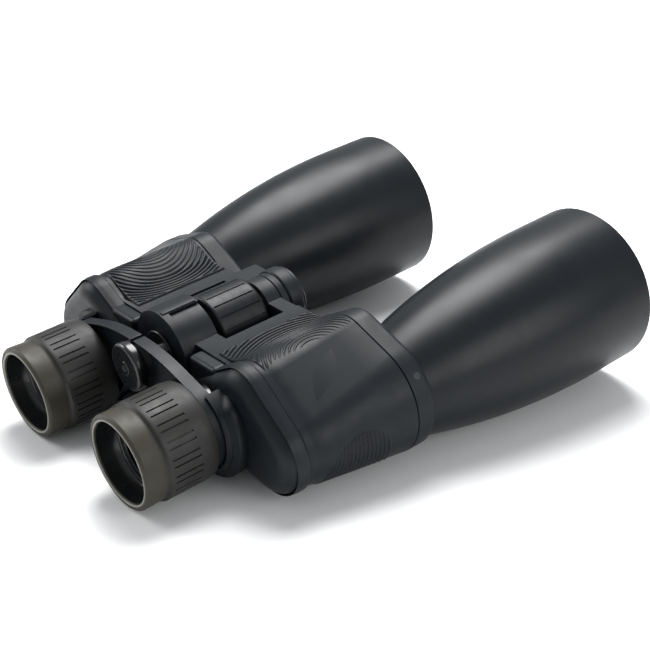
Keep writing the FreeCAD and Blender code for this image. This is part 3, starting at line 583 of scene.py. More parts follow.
@dataclass(frozen=True)
class Grooves:
    """Narrow strips pushed into a turned surface, in groups of faces round the turn."""

    group: int
    sunk: tuple[int, ...]
    inset: float
    depth: float
    skin: float = 0.2

    def sink(self, mesh: bmesh.types.BMesh, centre: Span, radius: float, span: Span,
             steps: int) -> None:
        """Push the strips inwards.

        Args:
            mesh: The turned mesh.
            centre: The axis, across and up.
            radius: Radius of the grooved surface.
            span: Stations between which the grooves run.
            steps: Faces round the turn.
        """
        x, z = centre
        chosen = []
        for face in mesh.faces:
            middle = face.calc_center_median()
            across, up = middle.x - x, middle.z - z
            turn = math.atan2(up, across) % FULL_TURN
            if (span[0] < middle.y < span[1] and math.hypot(across, up) > radius - self.skin
                    and int(turn / FULL_TURN * steps) % self.group in self.sunk):
                chosen.append(face)
        bmesh.ops.inset_individual(mesh, faces=chosen, thickness=self.inset, depth=0.0)
        for vert in {vert for face in chosen for vert in face.verts}:
            away = Vector((vert.co.x - x, 0.0, vert.co.z - z)).normalized()
            vert.co -= away * self.depth


@dataclass
class Assembly:
    """A sub-assembly that makes and mounts its own pieces."""

    bench: Bench

    def turn(self, name: str, body: str, finish: Finish, profile: Profile, steps: int,
             axis: Span | None = None, replaces: Sequence[str] = (),
             sharp: float = 50.0) -> None:
        """Spin a closed profile and mount the piece.

        Args:
            name: The piece's name.
            body: The CAD body it moves with.
            finish: Its finish.
            profile: Points as (radius, station).
            steps: Faces round the turn.
            axis: The axis, across and up, or None for the hinge's.
            replaces: CAD nodes it stands for.
            sharp: Edges sharper than this many degrees stay crisp.
        """
        mesh = bmesh.new()
        x, z = axis or (0.0, self.bench.hinge_z)
        lathe(mesh, profile, x, z, steps)
        self.bench.mount(mesh, name, body, finish, replaces, sharp)


@dataclass
class HalfAssembly(Assembly):
    """A sub-assembly that each half has, modelled for the right one."""

    side: Side

    def name(self, word: str) -> str:
        """Full name of one of this half's pieces."""
        return self.side.prefix + word

    def cast(self, mesh: bmesh.types.BMesh, word: str, body: str, finish: Finish,
             replaces: Sequence[str] = (), sharp: float = 34.0) -> None:
        """Bring a right-hand mesh to this half and mount it.

        Args:
            mesh: The mesh, as on the right half.
            word: The piece's name without its side.
            body: The CAD body it moves with.
            finish: Its finish.
            replaces: CAD nodes it stands for, without their side.
            sharp: Edges sharper than this many degrees stay crisp.
        """
        if self.side is Side.LEFT:
            bmesh.ops.scale(mesh, vec=(-1.0, 1.0, 1.0), verts=mesh.verts)
            bmesh.ops.recalc_face_normals(mesh, faces=mesh.faces)
        nodes = [self.name(node) for node in replaces]
        self.bench.mount(mesh, self.name(word), body, finish, nodes, sharp)


# ---------------------------------------------------------------------------------------------
# Prism housing


@dataclass
class HousingBelt:
    """Cross-section of the right prism housing: a belt round three parallel axes."""

    eye: Vector
    objective: Vector
    seam: float
    collar: float
    eye_round: float = 16.5
    knee_round: float = 13.0
    objective_rear: float = 17.5
    objective_front: float = 24.5
    knee: Vector = field(init=False)

    def __post_init__(self) -> None:
        """Place the knee so that both prisms shift the light equally and squarely."""
        run, drop = self.objective.x - self.eye.x, self.eye.y - self.objective.y
        self.knee = Vector((self.eye.x + (run + drop) / 2.0, self.eye.y + (run - drop) / 2.0))

    def rounds(self, station: float) -> list[tuple[Vector, float]]:
        """Circles at a station, anticlockwise from the eyepiece."""
        share = min(1.0, max(0.0, (station - self.seam) / (self.collar - self.seam)))
        swell = self.objective_rear + (self.objective_front - self.objective_rear) * share
        return [(self.eye, self.eye_round), (self.objective, swell), (self.knee, self.knee_round)]

    @staticmethod
    def bearing(first: tuple[Vector, float], second: tuple[Vector, float]) -> float:
        """Angle of the outward normal of the belt's run from one circle to the next.

        Args:
            first: Centre and radius of one circle.
            second: Centre and radius of the next one, anticlockwise.

        Returns:
            The angle in radians.
        """
        along = second[0] - first[0]
        share = (first[1] - second[1]) / along.length
        along.normalize()
        right = Vector((along.y, -along.x))
        normal = along * share + right * math.sqrt(1.0 - share * share)
        return math.atan2(normal.y, normal.x)

    @staticmethod
    def reach(ring: tuple[Vector, float], angle: float, station: float, offset: float) -> Vector:
        """Find a point at an angle round a circle.

        Args:
            ring: The circle's centre and radius.
            angle: The angle in radians.
            station: Distance along the instrument.
            offset: Distance outwards from the circle.

        Returns:
            The point in the instrument's axes.
        """
        centre, radius = ring[0], ring[1] + offset
        return Vector((centre.x + radius * math.cos(angle), station,
                       centre.y + radius * math.sin(angle)))

    def spot(self, number: int, share: float, station: float, offset: float) -> Vector:
        """A point on one of the belt's arcs.

        Args:
            number: Which circle.
            share: Position along the arc, 0 to 1.
            station: Distance along the instrument.
            offset: Distance outwards from the belt.

        Returns:
            The point in the instrument's axes.
        """
        rounds = self.rounds(station)
        low = self.bearing(rounds[number - 1], rounds[number])
        high = self.bearing(rounds[number], rounds[(number + 1) % 3])
        if high < low:
            high += FULL_TURN
        return self.reach(rounds[number], low + (high - low) * share, station, offset)

    def surface(self, walk: float, station: float, offset: float) -> Vector:
        """A point found by walking round the belt from the top of the knee.

        Args:
            walk: Distance along the belt, outwards and down if positive.
            station: Distance along the instrument.
            offset: Distance outwards from the belt.

        Returns:
            The point in the instrument's axes.
        """
        eye, objective, knee = self.rounds(station)
        top = math.pi / 2.0
        if walk >= 0.0:
            edge, other, spin = self.bearing(objective, knee), objective, -1.0
        else:
            edge, other, spin = self.bearing(knee, eye), eye, 1.0
        left = abs(walk) - abs(edge - top) * knee[1]
        if left <= 0.0:
            return self.reach(knee, top + spin * abs(walk) / knee[1], station, offset)
        normal = Vector((math.cos(edge), math.sin(edge)))
        start, stop = knee[0] + normal * knee[1], other[0] + normal * other[1]
        run = (stop - start).length
        if left <= run:
            spot = start + (stop - start) * (left / run) + normal * offset
            return Vector((spot.x, station, spot.y))
        return self.reach(other, edge + spin * (left - run) / other[1], station, offset)

    def shell(self, mesh: bmesh.types.BMesh, sides: Profile, steps: int = 26) -> None:
        """Draw the belt along a side profile and close both ends.

        Args:
            mesh: The mesh to add to.
            sides: Points as (offset, station), from the rear to the front.
            steps: Chords on each arc.
        """
        marks = [(number, step / steps) for number in range(3) for step in range(steps + 1)]
        ring = bmesh.ops.create_circle(mesh, segments=len(marks), radius=1.0)["verts"]
        rear = list(ring)
        for row, (offset, station) in enumerate(sides):
            if row:
                edges = [edge for edge in mesh.edges
                         if edge.verts[0] in ring and edge.verts[1] in ring]
                grown = bmesh.ops.extrude_edge_only(mesh, edges=edges)["geom"]
                fresh = {item for item in grown if isinstance(item, bmesh.types.BMVert)}
                follow = {}
                for vert in fresh:
                    for edge in vert.link_edges:
                        other = edge.other_vert(vert)
                        if other not in fresh:
                            follow[other] = vert
                ring = [follow[vert] for vert in ring]
            for vert, (number, share) in zip(ring, marks):
                vert.co = self.spot(number, share, station, offset)
        for end in (rear, ring):
            mesh.faces.new(end)
        settle(mesh)


@dataclass
class PrismHousing(HalfAssembly):
    """Skin, rear cover, collar and grips of one prism housing."""

    belt: HousingBelt
    skin: float = 0.4
    seam_step: float = 0.7
    seam_gap: float = 0.3
    band: float = 3.4
    band_rise: float = 0.5
    cover_length: float = 10.0
    cover_round: float = 7.5
    collar_round: float = 2.6
    lip: float = 0.45
    boss_lip: float = 19.3
    boss_radius: float = 24.5
    boss_neck: float = 19.5
    boss_from: float = 62.0
    boss_span: float = 205.0
    boss_fade: Span = (-1.0, 32.0)
    boss_sink: float = 6.0
    guide: float = 16.5
    fairing: tuple[Span, Span] = ((20.2, 38.0), (8.5, 0.25))

    def add_shell(self, word: str, sides: Profile, replaces: Sequence[str] = ()) -> None:
        """Draw the belt along a side profile as an enamelled piece.

        Args:
            word: The piece's name without its side.
            sides: Points as (offset, station), from the rear to the front.
            replaces: CAD nodes it stands for, without their side.
        """
        mesh = bmesh.new()
        self.belt.shell(mesh, sides)
        self.cast(mesh, word, self.side.half, Finish.BODY_ENAMEL, replaces)

    def rounding(self, station: float, radius: float, start: float, steps: int) -> Profile:
        """Quarter arc from one face of a shell to its side, as (offset, station)."""
        return [(offset - radius + self.skin, along) for offset, along in
                arc((0.0, station), radius, start, start + 90.0, steps)]

    def add_skin(self) -> None:
        """Cover the cast housing with its smooth armour."""
        rear, front = self.belt.seam + self.seam_gap * 0.5, self.belt.collar - self.seam_gap * 0.5
        step, skin, lip = self.seam_step, self.skin, self.lip
        self.add_shell("housing_skin", [
            (skin - step - lip, rear), (skin - step, rear + lip), (skin - step * 0.8, rear + 2.0),
            (skin - step * 0.4, rear + 4.5), (skin, rear + 8.0), (skin, front - 12.0),
            (skin, front - lip), (skin - lip * 0.3, front - lip * 0.3), (skin - lip, front)])

    def add_cover(self) -> None:
        """Make the rounded rear cover, with a raised band at its front."""
        front = self.belt.seam - self.seam_gap * 0.5
        start = self.belt.seam - self.cover_length + self.cover_round
        band, crest = front - self.band, self.skin + self.band_rise
        self.add_shell("cover_shell", [
            *self.rounding(start, self.cover_round, -90.0, 12),
            (self.skin + self.band_rise * 0.1, band - 2.6),
            (self.skin + self.band_rise * 0.7, band - 0.8), (crest, band), (crest, front - 0.7),
            (crest - 0.2, front - 0.2), (crest - 0.7, front), (self.skin - 4.0, front)],
            ["rear_cover"])

    def add_collar(self) -> None:
        """Make the front collar with its soft front edge."""
        rear = self.belt.collar + self.seam_gap * 0.5
        front = self.bench.extent(self.name("front_collar"))[1].y
        skin, lip = self.skin, self.lip
        self.add_shell("collar_shell", [
            (skin - lip * 2.0, rear), (skin - lip, rear), (skin - lip * 0.3, rear + lip * 0.3),
            (skin, rear + lip),
            *self.rounding(front - self.collar_round, self.collar_round, 0.0, 8)],
            ["front_collar"])

    def add_boss(self) -> None:
        """Make the flared boss that the eyepiece slides in, open where the arm passes."""
        start = self.bench.extent(self.name("rear_cover"))[0].y
        flange, end = start + 3.4, start + 8.1
        outer, neck = self.boss_radius, self.boss_neck
        profile = [
            (self.guide, start + 7.0), (18.5, start + 7.0), (18.5, start + 0.7),
            (18.8, start + 0.1), (self.boss_lip, start), (20.4, start + 0.9),
            (20.9, start + 1.5), (21.3, start + 1.5), (21.8, start + 1.9),
            (outer - 0.5, flange - 0.5), (outer, flange + 0.4), (outer - 0.1, flange + 2.2),
            (outer - 0.4, end), (neck, end + 1.2), (neck - 0.4, end + 6.0), (self.guide, end + 6.0)]
        x = self.bench.eye_x
        mesh = bmesh.new()
        verts = [mesh.verts.new((x + radius, station, 0.0)) for radius, station in profile]
        edges = [mesh.edges.new(pair) for pair in zip(verts, verts[1:] + verts[:1])]
        bmesh.ops.rotate(mesh, verts=mesh.verts, cent=(x, 0.0, 0.0),
                         matrix=Matrix.Rotation(-math.radians(self.boss_from), 3, "Y"))
        bmesh.ops.spin(mesh, geom=verts + edges, cent=(x, 0.0, 0.0), axis=(0.0, 1.0, 0.0),
                       angle=math.radians(self.boss_span), steps=120, use_merge=False)
        for vert in mesh.verts:
            away = Vector((vert.co.x - x, vert.co.z))
            if away.length > neck:
                turned = (self.boss_from - math.degrees(math.atan2(away.y, away.x))) % 360.0
                share = ease(min(turned, self.boss_span - turned), *self.boss_fade)
                away = away.normalized() * (neck + (away.length - neck) * share)
                vert.co = (x + away.x, vert.co.y + self.boss_sink * (1.0 - share), away.y)
        bmesh.ops.holes_fill(mesh, edges=[edge for edge in mesh.edges if edge.is_boundary], sides=0)
        settle(mesh)
        self.cast(mesh, "guide_boss", self.side.half, Finish.BODY_ENAMEL)

    def add_fairing(self) -> None:
        """Close the wing's rear end between the hinge lugs and the cover."""
        (inner, outer), (bottom, drop) = self.fairing
        seam = self.belt.seam
        mesh = bmesh.new()
        add_block(mesh, Vector((inner, seam - 6.8, bottom)),
                  Vector((outer, seam + 0.2, TopPad.flat - drop)))
        soften(mesh, 2.0, segments=5)
        self.cast(mesh, "wing_fairing", self.side.half, Finish.BODY_ENAMEL)

    def add_grip(self, pad: "GripPad") -> None:
        """Lay a ribbed pad on the armour.

        Args:
            pad: The pad's outline and ribs.
        """
        mesh = bmesh.new()
        grid = bmesh.ops.create_grid(mesh, x_segments=pad.across, y_segments=pad.along, size=0.5)
        for vert in grid["verts"]:
            walk = pad.walk[0] + (pad.walk[1] - pad.walk[0]) * (vert.co.x + 0.5)
            station = pad.stations[0] + (pad.stations[1] - pad.stations[0]) * (vert.co.y + 0.5)
            vert.co = pad.lay(self.belt, walk, station, self.skin + pad.height(walk, station))
        settle(mesh)
        bmesh.ops.solidify(mesh, geom=mesh.faces[:], thickness=pad.body)
        bmesh.ops.recalc_face_normals(mesh, faces=mesh.faces)
        self.cast(mesh, pad.word, self.side.half, Finish.GRIP_RUBBER, [pad.node], sharp=60.0)

    def build(self) -> None:
        """Build the whole housing."""
        self.add_skin()
        self.add_cover()
        self.add_boss()
        self.add_fairing()
        self.add_collar()
        self.add_grip(TopPad())
        self.add_grip(FlankPad())


@dataclass
class GripPad:
    """A patch of ribs on the housing, in distance round the belt and along the instrument."""

    word: str
    node: str
    walk: Span
    stations: Span
    pitch: float
    depth: float
    across: int = 190
    along: int = 210
    rise: float = 0.3
    body: float = 0.7
    sunk: float = 0.4

    def lay(self, belt: HousingBelt, walk: float, station: float, offset: float) -> Vector:
        """Find the place of a point of the pad."""
        return belt.surface(walk, station, offset)

    def frame_fade(self, walk: float, station: float, soft: float) -> float:
        """Return 1 inside the pad and 0 at its outline."""
        edges = (walk - self.walk[0], self.walk[1] - walk,
                 station - self.stations[0], self.stations[1] - station)
        return ease(min(edges), 0.0, soft)

    def ridge(self, distance: float) -> float:
        """Height of a row of rounded ribs with narrow valleys, from 0 to 1."""
        return abs(math.cos(math.pi * distance / self.pitch)) ** 0.7

    def height(self, walk: float, station: float) -> float:
        """Relief of the pad over the armour."""
        raise NotImplementedError


@dataclass
class TopPad(GripPad):
    """Concentric ribs from the flat beside the wheel up over the prism housing's shoulder."""

    word: str = "top_grip_pad"
    node: str = "top_grip"
    walk: Span = (-24.5, 12.0)
    stations: Span = (55.0, 100.2)
    pitch: float = 1.9
    depth: float = 1.05
    centre: Span = (12.0, 79.0)
    fade: Span = (1.0, 9.0)
    flat: float = 20.75
    blend: float = 1.2
    wall_soft: float = 0.45
    edge_soft: float = 1.6
    faded_rise: float = 0.15
    rise: float = 0.75
    body: float = 1.6
    across: int = 230
    along: int = 230

    def lay(self, belt: HousingBelt, walk: float, station: float, offset: float) -> Vector:
        """Find the place of a point, over the flat where the belt dips below it.

        Args:
            belt: The housing's cross-section.
            walk: Distance across from the top of the knee.
            station: Distance along the instrument.
            offset: Height over the armour.

        Returns:
            The point in the instrument's axes.
        """
        if walk >= 0.0:
            return belt.surface(walk, station, offset)
        knee, radius = belt.knee, belt.knee_round
        rounds = belt.rounds(station)
        edge = belt.bearing(rounds[2], rounds[0])
        touch = radius * math.cos(edge)
        slope = -math.cos(edge) / math.sin(edge)
        if walk > touch:
            height = knee.y + math.sqrt(radius * radius - walk * walk)
            tilt = walk / radius
        else:
            height = knee.y + radius * math.sin(edge) + (walk - touch) * slope
            tilt = math.cos(edge)
        gap = (height - self.flat) / self.blend
        share = 1.0 / (1.0 + math.exp(-max(-30.0, min(30.0, gap))))
        height = self.flat + self.blend * math.log1p(math.exp(min(30.0, gap)))
        lean = Vector((tilt * share, 1.0)).normalized()
        return Vector((knee.x + walk + lean.x * offset, station, height + lean.y * offset))

    def height(self, walk: float, station: float) -> float:
        """Relief of the arcs, which fade out towards the outer flank.

        Args:
            walk: Distance across from the top of the knee.
            station: Distance along the instrument.

        Returns:
            Height over the armour in millimetres.
        """
        reach = math.hypot(walk - self.centre[0], station - self.centre[1])
        strength = 1.0 - ease(walk, *self.fade)
        wall = self.frame_fade(walk, station, self.wall_soft)
        edge = self.frame_fade(walk, station, self.edge_soft)
        ribs = (1.0 - self.ridge(reach)) * self.depth * strength * edge
        level = self.rise * wall * (self.faded_rise + (1.0 - self.faded_rise) * strength)
        return level - self.sunk * (2.0 - strength) - ribs


@dataclass
class FlankPad(GripPad):
    """Fanned ribs low on the outer flank."""

    word: str = "side_grip_pad"
    node: str = "side_grip"
    walk: Span = (43.0, 72.0)
    stations: Span = (57.0, 93.0)
    pitch: float = 1.75
    depth: float = 0.85
    centre: Span = (50.0, 75.0)
    fan: float = 0.011
    crown: Span = (14.5, 13.0)
    crown_top: float = 57.0
    crown_fade: Span = (0.84, 1.0)
    edge_soft: float = 1.2
    proud: float = 0.45

    def height(self, walk: float, station: float) -> float:
        """Relief of the fan, rounded off at its top.

        Args:
            walk: Distance round the belt.
            station: Distance along the instrument.

        Returns:
            Height over the armour in millimetres.
        """
        spread = 1.0 + self.fan * (walk - self.centre[0])
        across = (station - self.centre[1]) / spread
        wide, high = self.crown
        crown = math.hypot(across / wide, min(0.0, walk - self.crown_top) / high)
        strength = 1.0 - ease(crown, *self.crown_fade)
        edge = self.frame_fade(walk, station, self.edge_soft)
        ribs = (1.0 - self.ridge(across)) * self.depth
        return (self.rise + self.proud - ribs) * edge * strength - self.sunk


# ---------------------------------------------------------------------------------------------
# Objective barrels


@dataclass
class ObjectiveBarrel(HalfAssembly):
    """Flared barrel with its rolled rim."""

    neck: float = 20.35
    cone: float = 18.5
    flare: float = 342.0
    arc_length: float = 85.0
    straight: float = 22.1
    wall: float = 2.0

    def build(self) -> None:
        """Spin the barrel."""
        name, half_wall = self.name("objective_barrel"), self.wall / 2.0
        low, high = self.bench.extent(name)
        rim_radius, rim = (high.x - low.x) / 2.0, high.y
        back = rim - self.straight
        collar = back - self.arc_length - self.cone
        inner = self.flare_points(rim_radius - self.wall, back, self.flare + self.wall)
        profile = [
            (self.neck - self.wall, collar), (self.neck, collar),
            *self.flare_points(rim_radius, back, self.flare),
            *arc((rim_radius - half_wall, rim - half_wall), half_wall, 0.0, 180.0, 10),
            *reversed(inner)]
        self.turn(self.name("barrel_shell"), self.side.half, Finish.BARREL_COVERING, profile, 168,
                  ((low.x + high.x) / 2.0, (low.z + high.z) / 2.0), [name])

    def flare_points(self, rim_radius: float, back: float, radius: float) -> Profile:
        """Points of the flare's arc, from the cone to the rim's straight.

        Args:
            rim_radius: Radius where the arc ends parallel to the axis.
            back: Station of that end.
            radius: The arc's own radius.

        Returns:
            Points as (radius, station).
        """
        sweep = math.degrees(math.asin(self.arc_length / self.flare))
        return arc((rim_radius - radius, back), radius, -sweep, 0.0, 28)


# ---------------------------------------------------------------------------------------------
# Eyepieces


@dataclass
class Eyecup(HalfAssembly):
    """Rubber eyecup with pairs of grip grooves round its sleeve."""

    lip_radius: float = 20.0
    lip_round: float = 1.4
    mouth: float = 17.2
    sleeve: float = 20.75
    waist: float = 19.5
    skirt: float = 10.3
    seat: float = 16.2
    bead: float = 0.42
    bead_step: float = 0.5
    pairs: int = 18
    ribbed: Span = (12.4, 24.6)
    grooves: Grooves = Grooves(group=10, sunk=(2, 6), inset=0.07, depth=0.6)

    def build(self) -> None:
        """Spin the cup and sink its grooves, then add the bead, whose pale colour is a painted
        highlight along the lip, and the lining.
        """
        name, body = self.name("eyecup"), self.side.cup_body
        low, high = self.bench.extent(name)
        axis, end = ((low.x + high.x) / 2.0, 0.0), high.y
        sleeve, waist, seat, mouth = self.sleeve, self.waist, self.seat, self.mouth
        profile = [
            *arc((mouth + self.lip_round, self.lip_round), self.lip_round, 180.0, 360.0, 10),
            (self.lip_radius - 0.1, 4.0), (waist + 0.1, 8.6), (waist, 9.6), (waist + 0.35, 10.1),
            (sleeve - 0.3, self.skirt + 0.1), (sleeve, self.skirt + 0.7),
            *((sleeve, station) for station in self.ribbed), (sleeve, 28.0),
            (sleeve - 0.15, 29.6), (sleeve - 0.5, end - 1.0), (sleeve - 1.1, end - 0.2),
            (sleeve - 1.8, end), (seat, end), (seat, 9.2), (mouth - 0.2, 7.6), (mouth, 5.0)]
        steps = self.pairs * self.grooves.group
        mesh = bmesh.new()
        lathe(mesh, profile, *axis, steps)
        self.grooves.sink(mesh, axis, sleeve, self.ribbed, steps)
        self.bench.mount(mesh, self.name("eyecup_rubber"), body, Finish.EYECUP_RUBBER, [name], 50.0)
        # Thin bead round the mouth, coloured pale as a painted highlight for the glint on the lip.
        bead = arc((mouth + self.bead_step, self.bead), self.bead, 0.0, 345.0, 16)
        self.turn(self.name("eyecup_lip_highlight"), body, Finish.LIP_HIGHLIGHT, bead, 144, axis, sharp=80.0)
        mouth -= 0.05
        lining = [
            (mouth, 1.2), (mouth - 0.25, 1.1), (mouth - 0.5, 6.0), (15.6, 8.6), (15.2, 9.2),
            (14.0, 9.35), (13.7, 9.6), (13.5, 10.2), (12.6, 10.4), (12.4, 10.7), (12.4, 11.1),
            (12.7, 11.3), (15.9, 11.3), (16.1, 9.0), (mouth, 6.0)]
        self.turn(self.name("eyecup_liner"), body, Finish.GLOSS_BLACK_METAL, lining, 144, axis,
                  sharp=30.0)


@dataclass
class EyepieceTube(HalfAssembly):
    """Glossy lock ring on the tube between the arm and the guide boss."""

    radius: float = 16.2
    ring: float = 17.4

    def build(self) -> None:
        """Spin the ring that shows behind the eyecup."""
        front = self.bench.extent(self.name("arm"))[1].y
        profile = ring_profile(self.radius, self.ring, front + 0.02, front + 0.6, 0.15)
        self.turn(self.name("tube_ring"), self.side.tube_body, Finish.GLOSS_BLACK_METAL, profile,
                  144, (self.bench.eye_x * self.side.value, 0.0), sharp=34.0)


# ---------------------------------------------------------------------------------------------
# Hinge, bridge and focus wheel


@dataclass
class FocusWheel(Assembly):
    """Focus wheel with broad lugs and narrow grooves, and the plate inside its rear."""

    lugs: int = 18
    grooves: Grooves = Grooves(group=8, sunk=(0,), inset=0.1, depth=0.7)
    shoulder: float = 1.7
    rim_width: float = 2.6
    bore: float = 8.05
    plate_bore: float = 3.5
    plate: Span = (0.55, 1.0)

    def build(self) -> None:
        """Spin the wheel and sink its grooves, then spin the plate."""
        low, high = self.bench.extent("focus_wheel")
        z = self.bench.hinge_z
        radius, rear, front = high.x, low.y, high.y
        rim = radius - self.rim_width
        half = [(self.bore, 2.0), (rim - 0.4, 2.0), (rim, 1.6), (rim, 0.3), (rim + 0.3, 0.0),
                (radius - 1.0, 0.0), (radius - 0.3, 0.3), (radius, 1.0), (radius, self.shoulder)]
        profile = [(reach, rear + inset) for reach, inset in half]
        profile += [(reach, front - inset) for reach, inset in reversed(half)]
        steps = self.lugs * self.grooves.group
        mesh = bmesh.new()
        lathe(mesh, profile, 0.0, z, steps)
        self.grooves.sink(mesh, (0.0, z), radius,
                          (rear + self.shoulder, front - self.shoulder), steps)
        self.bench.mount(mesh, "focus_wheel_cover", "focus_wheel", Finish.WHEEL_COVERING,
                         ["focus_wheel"], 50.0)
        start, stop = (rear + inset for inset in self.plate)
        self.turn("focus_wheel_plate", "focus_wheel", Finish.MATT_BLACK_METAL,
                  [(self.plate_bore, start), (rim + 0.2, start), (rim + 0.2, stop),
                   (self.plate_bore, stop)], 96, sharp=34.0)


@dataclass
class BridgeArm(HalfAssembly):
    """Arm from the hinge to one eyepiece: a raised rim round a recessed web."""

    ring: float = 18.2
    clear: float = 9.0
    hub: float = 8.6
    bore: float = 3.3
    roof: float = 11.0
    slit: float = 0.9
    rim: float = 1.5
    recess: float = 2.4
    gap: float = 0.3

    def outline(self, lift: float) -> list[Vector]:
        """Trace the right arm's outline.

        Args:
            lift: Height of the hinge axis.

        Returns:
            Points across and up, in order.
        """
        eye = Vector((self.bench.eye_x, 0.0))
        corner = Vector((self.slit, lift + self.roof))
        reach = corner - eye
        touch = math.atan2(reach.y, reach.x) - math.acos(self.ring / reach.length)
        points = [corner + Vector((0.0, -0.2)), corner + Vector((0.3, 0.0))]
        start = eye + self.ring * Vector((math.cos(touch), math.sin(touch)))
        points += [corner.lerp(start, step / 16.0) + Vector((0.0, self.sag(step / 16.0)))
                   for step in range(1, 16)]
        for centre, radius, start, stop, steps in (
                (eye, self.ring, math.degrees(touch), -148.0, 72),
                (Vector((0.0, lift)), self.clear, -52.0,
                 math.degrees(math.acos(self.slit / self.clear)), 30)):
            points += [Vector(point) for point in arc(centre, radius, start, stop, steps)]
        return points

    @staticmethod
    def sag(share: float) -> float:
        """Height of the roof's gentle crown along its run."""
        return 2.2 * math.sin(math.pi * share) * (1.0 - 0.35 * share)

    def add_plate(self, rear: float, front: float, lift: float) -> None:
        """Extrude the outline and sink its web.

        Args:
            rear: Rear station.
            front: Front station.
            lift: Height of the hinge axis.
        """
        points = self.outline(lift)
        mesh = bmesh.new()
        ring = bmesh.ops.create_circle(mesh, segments=len(points), radius=1.0, cap_ends=True)
        for vert, point in zip(ring["verts"], points):
            vert.co = (point.x, front, point.y)
        face = mesh.faces[:][0]
        grown = bmesh.ops.extrude_face_region(mesh, geom=[face])["geom"]
        fresh = [item for item in grown if isinstance(item, bmesh.types.BMVert)]
        bmesh.ops.translate(mesh, verts=fresh, vec=(0.0, rear - front, 0.0))
        settle(mesh)
        web = [item for item in mesh.faces if item.calc_center_median().y < rear + 0.01]
        bmesh.ops.inset_region(mesh, faces=web, thickness=self.rim, use_even_offset=True,
                               use_boundary=True)
        verts = {vert for item in web for vert in item.verts}
        bmesh.ops.translate(mesh, verts=list(verts), vec=(0.0, self.recess, 0.0))
        soften(mesh, 0.35, degrees=60.0)
        self.cast(mesh, "arm_casting", self.side.tube_body, Finish.BODY_ENAMEL, ["arm"])

    def add_hub(self, rear: float, front: float, lift: float) -> None:
        """Spin the arm's hub and tie it to the plate.

        Args:
            rear: Rear station.
            front: Front station.
            lift: Height of the hinge axis.
        """
        self.turn(self.name("arm_hub"), self.side.tube_body, Finish.GLOSS_BLACK_METAL,
                  ring_profile(self.bore, self.hub, rear, front, 0.4), 96)
        tie = bmesh.new()
        add_block(tie, Vector((7.6, rear + 0.25, lift - 3.0)),
                  Vector((11.2, front - 0.25, lift + 5.0)))
        soften(tie, 0.4)
        self.cast(tie, "arm_tie", self.side.tube_body, Finish.BODY_ENAMEL)

    def build(self) -> None:
        """Build the plate and the hub."""
        low, high = self.bench.extent(self.name("arm"))
        lift, middle = self.bench.hinge_z, (low.y + high.y) / 2.0
        self.add_plate(low.y, high.y, lift)
        if self.side is Side.LEFT:
            self.add_hub(low.y, middle - self.gap / 2.0, lift)
        else:
            self.add_hub(middle + self.gap / 2.0, high.y, lift)


@dataclass
class Bridge(Assembly):
    """Rounded end cap with its centre screw, and the rings behind it."""

    screw_radius: float = 3.0
    proud: float = 1.2
    rings: tuple[Span, ...] = ((0.05, 7.4), (0.8, 5.6))
    ring_bore: float = 3.25
    ring_width: float = 0.7

    def build(self) -> None:
        """Spin the cap, the screw with its hollow for the driver, and the spindle's rings."""
        low, high = self.bench.extent("end_cap")
        radius, rear, front = high.x, low.y - self.proud, high.y
        width = self.screw_radius
        self.turn("bridge_end_cap", "bridge", Finish.GLOSS_BLACK_METAL, [
            (0.0, rear + 0.5), (width + 0.3, rear + 0.5), (width + 0.45, rear + 0.1),
            (radius - 1.6, rear), (radius - 0.6, rear + 0.35), (radius - 0.1, rear + 1.0),
            (radius, rear + 1.7), (radius, front - 0.8), (radius - 0.25, front - 0.25),
            (radius - 0.8, front), (0.0, front)], 112, replaces=["end_cap"])
        self.turn("end_cap_screw", "bridge", Finish.GLOSS_BLACK_METAL, [
            (0.0, rear + 1.0), (1.0, rear + 1.0), (1.1, rear + 0.25), (1.3, rear + 0.02),
            (width - 0.5, rear - 0.05), (width - 0.1, rear + 0.15), (width, rear + 0.45),
            (width, rear + 1.4), (0.0, rear + 1.4)], 72)
        hub_front = self.bench.extent("bridge_hub")[1].y
        for number, (step, radius) in enumerate(self.rings, 1):
            start = hub_front + step
            profile = ring_profile(self.ring_bore, radius, start, start + self.ring_width, 0.2)
            self.turn(f"spindle_ring_{number}", "bridge", Finish.GLOSS_BLACK_METAL, profile, 72)


@dataclass
class Hinge(Assembly):
    """Raised ring on the hinge's nose and the bead along the left half's lug cover."""

    ring_height: float = 0.9
    cover_radius: float = 17.9
    cover_span: Span = (0.8, 17.2)
    cover_edge: float = -79.0
    rim_width: float = 2.2
    rim_height: float = 0.55

    def build(self) -> None:
        """Build both pieces."""
        low, high = self.bench.extent("nose_washer")
        radius, front = high.x + 0.8, low.y
        top = radius + self.ring_height
        self.turn("nose_ring", "left_half", Finish.BODY_ENAMEL, [
            (radius - 1.5, front - 8.0), (radius + 0.1, front - 8.0), (top - 0.3, front - 7.5),
            (top, front - 7.0), (top, front - 2.2), (top - 0.3, front - 1.7),
            (radius + 0.1, front - 1.2), (radius - 1.5, front - 1.2)], 120)
        z, outer = self.bench.hinge_z, self.cover_radius
        start = self.bench.extent("left_prism_housing")[0].y
        rear, front = (start + step for step in self.cover_span)
        mesh = bmesh.new()
        face = mesh.faces.new([mesh.verts.new((reach, station, z)) for reach, station in (
            (outer - 0.6, rear), (outer + self.rim_height, rear),
            (outer + self.rim_height, front), (outer - 0.6, front))])
        bmesh.ops.rotate(mesh, verts=mesh.verts, cent=(0.0, 0.0, z),
                         matrix=Matrix.Rotation(math.radians(self.cover_edge), 3, "Y"))
        bmesh.ops.spin(mesh, geom=[face], cent=(0.0, 0.0, z), axis=(0.0, 1.0, 0.0),
                       angle=-self.rim_width / outer, steps=4)
        settle(mesh)
        soften(mesh, 0.3)
        self.bench.mount(mesh, "lug_cover_rim", "left_half", Finish.BODY_ENAMEL)


